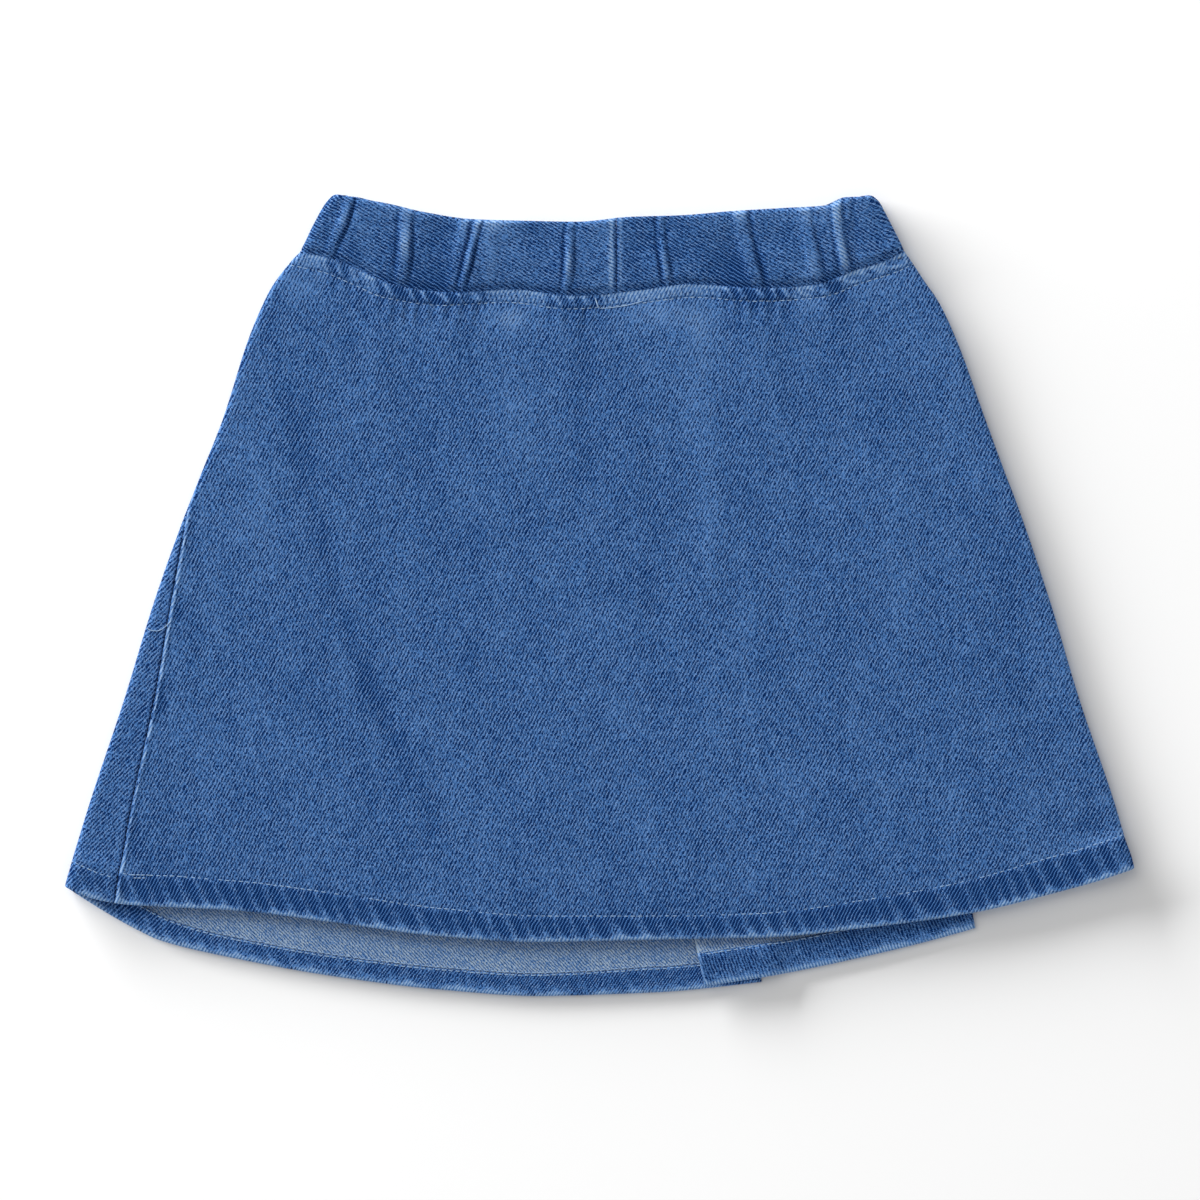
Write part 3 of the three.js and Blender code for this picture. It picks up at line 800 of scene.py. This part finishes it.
def hem_path(name):
    """Rows down the panel, round the hem's turn and back up inside."""
    rows_above = PANEL_ROWS[name]
    length = SKIRT_LENGTH + HEM_DIP[name]
    turn_share = HEM_TURN / length
    angles = np.linspace(0, math.pi, 8)[1:-1]
    up = np.linspace(1 - turn_share, 1 - HEM_DEPTH[name] / length, 9)
    down = np.concatenate([rows_above[rows_above < 1 - turn_share], [1 - turn_share],
                           1 - turn_share + turn_share * np.sin(angles), up])
    turn = np.concatenate([np.zeros(len(down) - len(angles) - len(up)), angles,
                           np.full(len(up), math.pi)])
    return down, turn, HEM_TURN * (1 - np.cos(turn))


def graded(*stretches):
    """Shares down the panel, from stretches of (end, number of rows)."""
    start, rows = 0.0, [0.0]
    for end, count in stretches:
        rows.extend(np.linspace(start, end, count + 1)[1:])
        start = end
    return np.array(rows)


class Nodes:
    """Short calls for building a material's node tree."""

    def __init__(self, name):
        self.material = bpy.data.materials.new(name)
        self.material.use_nodes = True
        self.tree = self.material.node_tree
        self.shader = self.tree.nodes["Principled BSDF"]

    def wire(self, value, socket):
        if isinstance(value, bpy.types.NodeSocket):
            self.tree.links.new(value, socket)
        else:
            socket.default_value = value

    def node(self, kind, values, output=0, **settings):
        """An output of a new node, after its settings and the values of its sockets."""
        node = self.tree.nodes.new("ShaderNode" + kind)
        for key, value in settings.items():
            setattr(node, key, value)
        for socket, value in values:
            self.wire(value, node.inputs[socket])
        return node.outputs[output]

    def math(self, operation, *values):
        return self.node("Math", enumerate(values), operation=operation)

    def plus(self, a, b):
        return self.math("ADD", a, b)

    def less(self, a, b):
        return self.math("SUBTRACT", a, b)

    def times(self, a, b):
        return self.math("MULTIPLY", a, b)

    def off(self, value, middle):
        return self.math("ABSOLUTE", self.less(value, middle))

    def scaled(self, value, low, high, out_low=0.0, out_high=1.0, kind="SMOOTHSTEP"):
        values = enumerate((value, low, high, out_low, out_high))
        return self.node("MapRange", values, interpolation_type=kind)

    def vector(self, x, y, z=0.0):
        return self.node("CombineXYZ", enumerate((x, y, z)))

    def attribute(self, name, output):
        return self.node("Attribute", (), output, attribute_name=name)

    def split(self, vector):
        node = self.tree.nodes.new("ShaderNodeSeparateXYZ")
        self.wire(vector, node.inputs[0])
        return node.outputs

    def noise(self, vector, scale, detail=2.0, roughness=0.5):
        values = ("Vector", vector), ("Scale", scale), ("Detail", detail), ("Roughness", roughness)
        return self.node("TexNoise", values, "Fac")

    def random(self, value):
        return self.node("TexWhiteNoise", [("W", value)], "Value", noise_dimensions="1D")

    def blend(self, factor, a, b):
        return self.node("Mix", ((0, factor), (6, a), (7, b)), 2, data_type="RGBA")

    def bump(self, height, strength, distance):
        return self.node("Bump", (("Strength", strength), ("Distance", distance), ("Height", height)))

    def finish(self, colour, roughness, specular, normal=None):
        """The shader's colour and gloss, and the material."""
        self.wire(colour, self.shader.inputs["Base Color"])
        self.shader.inputs["Roughness"].default_value = roughness
        self.shader.inputs["Specular IOR Level"].default_value = specular
        if normal:
            self.wire(normal, self.shader.inputs["Normal"])
        return self.material


# The denim's weave: a 3/1 twill, with the distances between its threads in millimetres
WARP_PITCH = 0.37
WEFT_PITCH = 0.69
WEFT_SHOWS = 0.14  # where along the twill's cycle of four threads the weft passes over
WARP_CROWN = 0.62  # and where the warp's float is highest
TWILL_LINE = 0.37  # and where the worn line of the twill begins
SWAY = 1.6  # how far the warp wanders over long distances
WOBBLE = 1.3  # and over short ones
COLOURS = {
    "warp_deep": (0.001, 0.030, 0.155, 1),
    "warp_worn": (0.108, 0.290, 0.700, 1),
    "weft": (0.260, 0.460, 0.850, 1),
    # The wrong side's pale weft, made paler still as painted light that offsets the shade the inside lies
    # in beneath the hems
    "inside_weft": (0.66, 0.83, 1.0, 1),
    "inside_warp": (0.012, 0.045, 0.13, 1),
    # Pale rubbed blue, also used for painted highlights
    "faded_and_highlight": (0.44, 0.66, 0.98, 1),
    "thread_shade": (0.28, 0.48, 0.85, 1),
    "thread": (0.57, 0.79, 1.0, 1),
}


def weave(n, u, v):
    """How much the weft shows, the threads' height, the twill's lines, and each float's number."""
    warp, weft = n.math("DIVIDE", u, WARP_PITCH), n.math("DIVIDE", v, WEFT_PITCH)
    warp_number = n.math("FLOOR", warp)
    cycle = n.math("FRACT", n.times(n.less(weft, warp_number), 0.25))
    spot = n.scaled(n.off(cycle, WEFT_SHOWS), 0.17, 0.07)
    wale = n.math("SINE", n.times(n.less(cycle, TWILL_LINE), 2 * math.pi))
    thread = n.scaled(n.off(n.math("FRACT", warp), 0.5), 0.5, 0.22)
    crown = n.scaled(n.off(cycle, WARP_CROWN), 0.4, 0.05, 0.35, 1.0)
    height = n.times(thread, crown)
    return spot, height, wale, n.plus(warp_number, n.times(n.math("FLOOR", weft), 57.3))


def denim(name, inside=False, darker=0.0, wales=2.1):
    """Washed denim: blue warp over paler weft, or the other way on its wrong side."""
    n = Nodes(name)
    u, v, _ = n.split(n.attribute("cloth", "Vector"))
    wear_and_shade = n.attribute("wear_and_shade", "Fac")
    sway = n.noise(n.vector(u, v), 0.06, 1.0)
    wobble = n.noise(n.vector(u, v, 15.0), 0.35)
    u = n.plus(u, n.plus(n.times(sway, SWAY), n.times(wobble, WOBBLE)))
    spot, height, wale, float_number = weave(n, u, v)
    slub = n.noise(n.vector(n.times(u, 2.4), n.times(v, 0.16)), 1.0)
    cross = n.noise(n.vector(n.times(u, 0.13), n.times(v, 1.3), 4.0), 1.0)
    speck = n.noise(n.vector(u, v, 9.0), 1.1, 2.0, 0.8)
    cloud = n.noise(n.vector(u, v, 2.0), 0.045, 3.0, 0.55)
    streak = n.noise(n.vector(n.times(u, 0.09), n.times(v, 0.014), 6.0), 1.0)
    random = n.random(float_number)
    patchy = n.noise(n.vector(u, v, 21.0), 0.16)
    rough = 0.6 if inside else 1.0
    fade_and_shade = n.times(n.less(speck, 0.5), 4.0 * rough)
    if not inside:
        strength = n.times(n.plus(speck, 0.1), n.times(patchy, wales))
        fade_and_shade = n.less(fade_and_shade, n.times(wale, strength))
    for field, weight in ((slub, 1.2), (cross, 1.0), (cloud, 0.9), (streak, 0.9), (random, 2.2)):
        fade_and_shade = n.plus(fade_and_shade, n.times(n.less(field, 0.5), weight * rough))
    # The wear-and-shade attribute moves the warp and weft colours: paler for wear and painted highlights,
    # darker for painted shade
    fade_and_shade = n.plus(fade_and_shade, n.times(wear_and_shade, 0.6))
    fade_and_shade = n.plus(fade_and_shade, n.times(n.less(height, 0.45), 1.2))
    fade_and_shade = n.scaled(n.less(fade_and_shade, darker), -0.35, 0.85, kind="LINEAR")
    warp_colour = n.blend(fade_and_shade, COLOURS["inside_warp" if inside else "warp_deep"], COLOURS["warp_worn"])
    weft_colour = n.blend(fade_and_shade, COLOURS["warp_worn"], COLOURS["inside_weft" if inside else "weft"])
    colour = n.blend(n.less(1.0, spot) if inside else spot, warp_colour, weft_colour)
    # Where the attribute is high the cloth takes the faded colour along the twill: rubbed edges, and
    # painted highlights on ridges
    edge = n.scaled(wear_and_shade, 0.7, 2.2, 0.0, 0.95)
    dashes = n.less(speck, n.times(wale, 0.25))
    colour = n.blend(n.times(edge, n.scaled(dashes, 0.3, 0.75)), colour, COLOURS["faded_and_highlight"])
    n.shader.inputs["Sheen Weight"].default_value = 0.02
    n.shader.inputs["Sheen Roughness"].default_value = 0.6
    return n.finish(colour, 0.92, 0.03, n.bump(height, 0.9, 0.00022))


def thread_material():
    n = Nodes("thread")
    at = n.attribute("cloth", "Vector")
    u, v, _ = n.split(at)
    twist = n.math("SINE", n.plus(n.times(u, 11.0), n.times(v, 6.0)))
    factor = n.plus(n.times(twist, 0.18), n.times(n.noise(at, 0.35), 1.2))
    colour = n.blend(factor, COLOURS["thread_shade"], COLOURS["thread"])
    return n.finish(colour, 0.85, 0.05, n.bump(twist, 0.4, 0.00008))


OUTSIDE = denim("denim", darker=0.06)
UNDER_DENIM = denim("denim_under", darker=-0.1, wales=0.9)
INSIDE = denim("denim_inside", inside=True)
BAND_DENIM = denim("denim_band", darker=0.14, wales=1.7)
THREAD = thread_material()

# The panels
PANEL_ROWS = {
    "back": graded((0.026, 14), (0.07, 14), (0.94, 66), (1.0, 20)),
    "wrap": graded((0.05, 10), (0.93, 60), (1.0, 20)),
    "under": graded((0.05, 8), (0.93, 50), (1.0, 20)),
}
# Degrees that each piece's grain leans to the right, and the same and the scale of the weave
# as its wrong side shows it
GRAINS = {"back": (0, (0, 1.0)), "wrap": (16, (53, 0.85)), "under": (-50, (-32, 0.85))}
LABELS = {"back": "back", "wrap": "front_wrap", "under": "front_under"}
PLACES = {"back": back_places, "wrap": wrap_places, "under": under_places}

panels = {}
for name in ("back", "wrap", "under"):
    piece = build_wall(name, UNDER_DENIM if name == "under" else OUTSIDE)
    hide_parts(LABELS[name] + "_panel", LABELS[name] + "_hem")
    panels[name] = piece


# The casing: one wall, round at its folded top edge and tucked into the seam at its foot
def band_rows():
    ease_in = 1 - np.cos(np.linspace(0, math.pi / 2, 9))
    top = ease_in * 0.055
    foot = 1 - ease_in[::-1] * 0.05
    return np.concatenate([top, np.linspace(0.055, 0.95, 26)[1:-1], foot, [1.03, 1.06, 1.09]])


BAND_LENGTH = BAND_TOP - WAIST
BAND_GRAIN = 3  # degrees that the strip's grain leans
JOIN_GAP = 0.02  # how far each of the strip's ends lies from their join
TOP_ROUND = 2.6  # over what distance the wall grows to its full thickness at the top
FOOT_ROUND = 2.2  # and how far from the foot it narrows


def build_band():
    rows = band_rows()
    ring = TUBES["band"].loop(rows)
    full = 2 * ring["half"]
    join = going_to(ring, JOIN, False)
    quarter, half = ring["quarter"], ring["half"]
    start, finish = join + JOIN_GAP, full + join - JOIN_GAP
    stops = [start, half - quarter, half + quarter, full - quarter, full + quarter, finish]
    going = between(stops, [215, 12, 130, 12, 235])
    d = np.repeat(rows[:, None], going.shape[1], 1)
    xyz, info = place("band", d, going)
    normal, _ = directions("band", np.clip(d, END_CLEAR, 1 - END_CLEAR), going)
    relief, wear_and_shade = band_relief(xyz, info, d)
    from_top, from_foot = d * BAND_LENGTH, (1 - d) * BAND_LENGTH
    thick = np.sqrt(np.clip(bow(np.clip(from_top / TOP_ROUND, 0, 0.5)), 0.04, 1))
    flat = np.abs(info["tilt"])
    foot = mix(mix(0.9, 0.5, flat), 1.0, ease(from_foot / FOOT_ROUND))
    lift = np.where(info["beneath"], 0, -0.5 * (1 - ease(from_foot / 2.0)) * info["tilt"])
    lift = lift - 1.1 * ease(-from_foot / 0.6) * np.maximum(flat, 0.3) - 0.12 * info["beneath"]
    half_wall = BAND_WALL / 2 * thick * foot
    outer_step = half_wall + relief * ease(from_top / 1.2) * mix(0.35, 1, ease(from_foot / 3))
    outer = xyz + normal * (outer_step + lift)[..., None]
    inner = xyz - normal * half_wall[..., None]
    # Paler along the rubbed top fold; darker at the foot, as painted shade where the casing tucks into
    # the seam
    wear_and_shade += 0.5 * hump(from_top, 1.6) - 0.7 * hump(from_foot, 1.0)
    ring = info["ring"]
    at = np.mod(going, 2 * ring["half"])
    start = ring["left"] + ring["radius"] - ring["quarter"]
    across = start + np.where(info["beneath"], 2 * ring["half"] - at, at)
    tip = np.where(info["share"] < 0.5, start, start + ring["half"])
    side = np.where(info["beneath"], 2 * tip - across, across)
    maps = [turned(xyz[..., 1], -side, BAND_GRAIN)] * 2
    return shell("waistband_casing", outer, inner, maps, wear_and_shade, BAND_DENIM)


band = build_band()
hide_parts("waistband")

# Stitching: each stitch is a short bowed thread whose ends dive into the cloth
STITCH_PITCH = 2.9
STITCH_LENGTH = 2.35
STITCH_RADIUS = 0.2
STITCH_RINGS = 7
STITCH_JITTER = 0.15  # how far a stitch's start lies from its regular place
STITCH_SHARES = (0.88, 1.06)  # of the regular length
STITCH_SUNK = 0.17  # the most that a stitch is sunk
STITCH_SHIFT = 0.08  # the most that it lies beside its row
ROW_START = 0.3  # from the row's end to its first stitch
THREAD_SIDES = 6
THREAD_ANGLES = np.linspace(0, 2 * math.pi, THREAD_SIDES, endpoint=False)
LINE_STEP = 0.5
NEAR_HEM = 0.95  # a share down the panel, where a hem's places are looked up
PRESSED = 0.35  # how far a stitch beneath is pressed in by the surface it lies on


def surface_line(name, down, starts, ends, lift):
    """Points along a row of a panel, and the normal at each of them."""
    count = int(abs(ends - starts) / LINE_STEP)
    going = np.linspace(starts, ends, count)
    near = place(name, np.full(count, NEAR_HEM), going)[0][:, 0]
    d = down(near) if callable(down) else np.full(count, down)
    xyz, info = place(name, d, going)
    normal, _ = directions(name, np.clip(d, 0, 1 - END_CLEAR), going)
    relief, _ = panel_relief(name, xyz, info, d, going, (starts, ends))
    pressed = np.where(info["beneath"] & (lift > 0), PRESSED, 0)
    return xyz + normal * (relief + lift - pressed)[:, None], normal


def rings_round(middle, across, up, size):
    """The points of a thread, ring by ring along its middle."""
    ring = across[:, None] * np.cos(THREAD_ANGLES)[:, None] + up[:, None] * np.sin(THREAD_ANGLES)[:, None]
    return (middle[:, None] + ring * size[:, None, None]).reshape(-1, 3)


def thread_faces(rings, first=0):
    """The sides and flat ends of a thread, whose points are numbered from first."""
    k = np.arange(rings - 1)[:, None] * THREAD_SIDES
    j = np.arange(THREAD_SIDES)[None]
    following = (j + 1) % THREAD_SIDES
    sides = [k + j, k + following, k + THREAD_SIDES + following, k + THREAD_SIDES + j]
    start = [(5, 4, 1, 0), (4, 3, 2, 1)]
    end = np.array([(0, 1, 4, 5), (1, 2, 3, 4)]) + (rings - 1) * THREAD_SIDES
    return np.concatenate([np.stack(sides, -1).reshape(-1, 4), start, end]) + first


def thread_piece(name, points, quads, cloth):
    """A piece of thread, from the points, faces and cloth coordinates of its lengths."""
    quads, layers = np.concatenate(quads), {"cloth": np.concatenate(cloth)}
    piece = new_mesh(name, np.concatenate(points), quads, [THREAD], np.zeros(len(quads)), layers)


def stitched(name, line, normals, pitch=STITCH_PITCH, seed=0):
    """A row of stitches along a line of points."""
    rng = np.random.default_rng(seed)
    steps = np.linalg.norm(np.diff(line, axis=0), axis=1)
    travelled = np.r_[0, np.cumsum(steps)]
    share = np.linspace(0, 1, STITCH_RINGS)
    bowed = np.sqrt(np.clip(bow(share), 0, 1))
    size = STITCH_RADIUS * (0.45 + 0.55 * bowed)
    points, quads, cloth = [], [], []
    for i in range(int(travelled[-1] / pitch)):
        start = i * pitch + rng.uniform(-STITCH_JITTER, STITCH_JITTER) + ROW_START
        length = STITCH_LENGTH * pitch / STITCH_PITCH * rng.uniform(*STITCH_SHARES)
        at = np.clip(start + length * share, 0, travelled[-1])
        middle = np.stack([np.interp(at, travelled, line[:, k]) for k in range(3)], -1)
        up = unit(np.stack([np.interp(at, travelled, normals[:, k]) for k in range(3)], -1))
        sunk = rng.uniform(0, STITCH_SUNK)
        middle = middle + up * ((0.75 * bowed - 0.7) * STITCH_RADIUS - sunk)[:, None]
        across = unit(np.cross(unit(np.gradient(middle, axis=0)), up))
        middle = middle + across * rng.uniform(-STITCH_SHIFT, STITCH_SHIFT)
        points.append(rings_round(middle, across, up, size))
        quads.append(thread_faces(STITCH_RINGS, i * STITCH_RINGS * THREAD_SIDES))
        u, v = np.repeat(at, THREAD_SIDES), np.tile(THREAD_ANGLES, STITCH_RINGS)
        cloth.append(np.stack([u, v, np.full(len(u), i)], -1))
    thread_piece(name, points, quads, cloth)


ROW_INSET = 0.8  # how far a row's ends stay from its panel's edges


def row_ends(name, down):
    row = PLACES[name](np.array([down]))[0]
    return row[0] + ROW_INSET, row[-1] - ROW_INSET


def min_depth(name, x):
    """The stitching's distance from the edge inside, where it stays on the turned cloth."""
    return np.minimum(stitch_depth(name, x), HEM_DEPTH[name] - 0.5)


OUTER_LIFT = CLOTH / 2 + 0.05
INSIDE_ROWS = (0, 1.1)  # distances of the hem's two inner rows from the stitching's own depth
waist_down = (WELT_DEPTH + 0.25) / SKIRT_LENGTH
for seed, name in enumerate(("back", "wrap", "under")):
    label, length = LABELS[name], SKIRT_LENGTH + HEM_DIP[name]
    ends = row_ends(name, waist_down)
    stitched(label + "_waist_stitches", *surface_line(name, waist_down, *ends, OUTER_LIFT), seed=seed)
    ends = row_ends(name, 1 - (HEM_DEPTH[name] - 0.5) / length)
    outer_line = surface_line(name, lambda x: 1 - stitch_depth(name, x) / length, *ends, OUTER_LIFT)
    stitched(label + "_hem_stitches", *outer_line, seed=10 + seed)
    for row, offset in enumerate(INSIDE_ROWS):
        line, normal = surface_line(name, lambda x: 1 - (min_depth(name, x) + offset) / length, *ends,
                                    -2 * HEM_TURN - OUTER_LIFT + offset)
        stitched(f"{label}_hem_stitches_inside_{row}", line, -normal, seed=20 + seed + 3 * row)


# The hem's stitching starts over a second, tighter row beside the left seam: from one pixel to
# another, pitch, seed
TACK_ROWS = {
    "back_tack_upper": ((131, 874.4), (152, 874.6), 2.1, 41),
    "back_tack_lower": ((133, 877.6), (150, 877.4), 1.9, 42),
}
TACK_POINTS = 30


def short_row(name, from_px, to_px, pitch, seed):
    """Stitches on the back's outer face, straight from one pixel to another."""
    (x0, y0), (x1, y1) = from_pixel(*from_px), from_pixel(*to_px)
    share = np.linspace(0, 1, TACK_POINTS)
    x, y = mix(x0, x1, share), mix(y0, y1, share)
    line = np.stack([x, y, np.full(TACK_POINTS, top_height(x.mean(), y.mean()))], -1)
    stitched(name, line, np.tile((0, 0, 1.0), (TACK_POINTS, 1)), pitch=pitch, seed=seed)


def top_height(x, y):
    """Height of the back's outer face at a place of the drawing."""
    panel = panels["back"].data
    co = np.empty(len(panel.vertices) * 3, np.float32)
    panel.vertices.foreach_get("co", co)
    co = co.reshape(-1, 3) / MM + (*CENTRE, 0)
    near = np.hypot(co[:, 0] - x, co[:, 1] - y) < 1.6
    return co[near, 2].max() + 0.02


for name, row in TACK_ROWS.items():
    short_row(name, *row)

# A loose thread lies across the left seam: the pixels it passes, its height and its points
LOOSE = [(147, 628), (152, 630.5), (158, 631), (163, 629), (168, 624.5), (171, 622)]
LOOSE_HEIGHT = 5.75
LOOSE_POINTS = 24


def loose_thread():
    xy = np.array([from_pixel(*pixel) for pixel in LOOSE])
    at, fine = np.linspace(0, 1, len(xy)), np.linspace(0, 1, LOOSE_POINTS)
    z = LOOSE_HEIGHT + 0.12 * np.sin(fine * 9)
    return np.stack([curve(at, xy[:, 0])(fine), np.interp(fine, at, xy[:, 1]), z], -1)


def thread(name, line, radius):
    """A length of thread with tapered ends."""
    ahead = unit(np.gradient(line, axis=0))
    across = unit(np.cross(ahead, (0, 0, 1.0)))
    taper = np.clip(np.sin(np.linspace(0.12, math.pi - 0.12, len(line))) * 3, 0.2, 1)
    points = rings_round(line, across, np.cross(across, ahead), radius * taper)
    thread_piece(name, [points], [thread_faces(len(line))], [np.repeat(line, THREAD_SIDES, axis=0)])


def lying_thread(pixels, lift):
    """A line over the back's outer face, from pixel to pixel."""
    xy = np.array([from_pixel(*pixel) for pixel in pixels])
    heights = [top_height(x, y) + lift for x, y in xy]
    fine = np.linspace(0, len(xy) - 1, 4 * len(xy))
    return np.stack([np.interp(fine, range(len(xy)), row) for row in (*xy.T, heights)], -1)


# A short end of thread crosses the welt beside the middle of the back, and a longer float of
# the topstitching starts beneath it
STUB = [(595.0, 298), (596.2, 301.5), (597.4, 305), (598.6, 308.5)]
FLOAT = [(599, 308.8), (608, 308.4), (617, 307.2), (626, 306), (634, 303.8), (643, 301.4)]
thread("loose_thread", loose_thread(), 0.16)
thread("thread_stub", lying_thread(STUB, 0.1), 0.26)
thread("thread_float", lying_thread(FLOAT, -0.1), 0.16)


# The floor, the lights and the camera
FLOOR_HALF = 6.0
PAPER_TONES = (0.93, 0.93, 0.93, 1), (0.95, 0.95, 0.95, 1)


def floor_material():
    n = Nodes("paper")
    at = n.tree.nodes.new("ShaderNodeTexCoord").outputs["Object"]
    return n.finish(n.blend(n.noise(at, 3.0), *PAPER_TONES), 0.9, 0.5)


def floor():
    mesh = bpy.data.meshes.new("floor")
    corners = [(FLOOR_HALF * x, FLOOR_HALF * y, 0) for x, y in ((-1, -1), (1, -1), (1, 1), (-1, 1))]
    mesh.from_pydata(corners, [], [(0, 1, 2, 3)])
    mesh.materials.append(floor_material())
    piece = bpy.data.objects.new("floor", mesh)
    bpy.context.scene.collection.objects.link(piece)
    return piece


def area_light(name, at, wide, high, watts, receivers):
    """A soft oval light that faces the skirt's middle and lights only its receivers."""
    data = bpy.data.lights.new(name, "AREA")
    data.shape, data.size, data.size_y, data.energy = "ELLIPSE", wide, high, watts
    light = bpy.data.objects.new(name, data)
    light.location = at
    light.rotation_mode = "QUATERNION"
    light.rotation_quaternion = (-Vector(at)).to_track_quat("-Z", "Y")
    light.light_linking.receiver_collection = receivers
    bpy.context.scene.collection.objects.link(light)


def receivers(name, piece):
    """A collection for a light's receivers, which starts with one piece."""
    group = bpy.data.collections.new(name)
    group.objects.link(piece)
    return group


CAMERA_HEIGHT = 4.0
DAYLIGHT = 0.42


def camera():
    """Straight above the picture's middle, far away, so that it sees the skirt as drawn."""
    data = bpy.data.cameras.new("camera")
    data.sensor_width = 36.0
    data.lens = data.sensor_width * CAMERA_HEIGHT / (IMAGE_SIZE * PIXEL * MM)
    data.clip_end = 50.0
    view = bpy.data.objects.new("camera", data)
    x, y = from_pixel(IMAGE_SIZE / 2, IMAGE_SIZE / 2)
    view.location = ((x - CENTRE[0]) * MM, (y - CENTRE[1]) * MM, CAMERA_HEIGHT)
    bpy.context.scene.collection.objects.link(view)
    bpy.context.scene.camera = view


# The paper has the long soft shadow of the low light, eased by the light above; the key light
# is for the cloth alone. Each light's place, width and height are in metres, its power in watts.
paper = floor()
cloth_only, paper_only = receivers("cloth_only", paper), receivers("paper_only", paper)
cloth_only.collection_objects[0].light_linking.link_state = "EXCLUDE"
area_light("key", (-3.84, 3.84, 2.54), 3.4, 3.4, 278, cloth_only)
area_light("low", (-4.57, 3.83, 0.85), 7.0, 1.50, 1620, paper_only)
area_light("above", (-2.5, 2.5, 3.6), 4.6, 4.6, 53, paper_only)
world = bpy.data.worlds.new("world")
world.use_nodes = True
background = world.node_tree.nodes["Background"]
background.inputs["Color"].default_value = (1, 1, 1, 1)
background.inputs["Strength"].default_value = DAYLIGHT
bpy.context.scene.world = world
bpy.context.scene.view_settings.view_transform = "Standard"
camera()
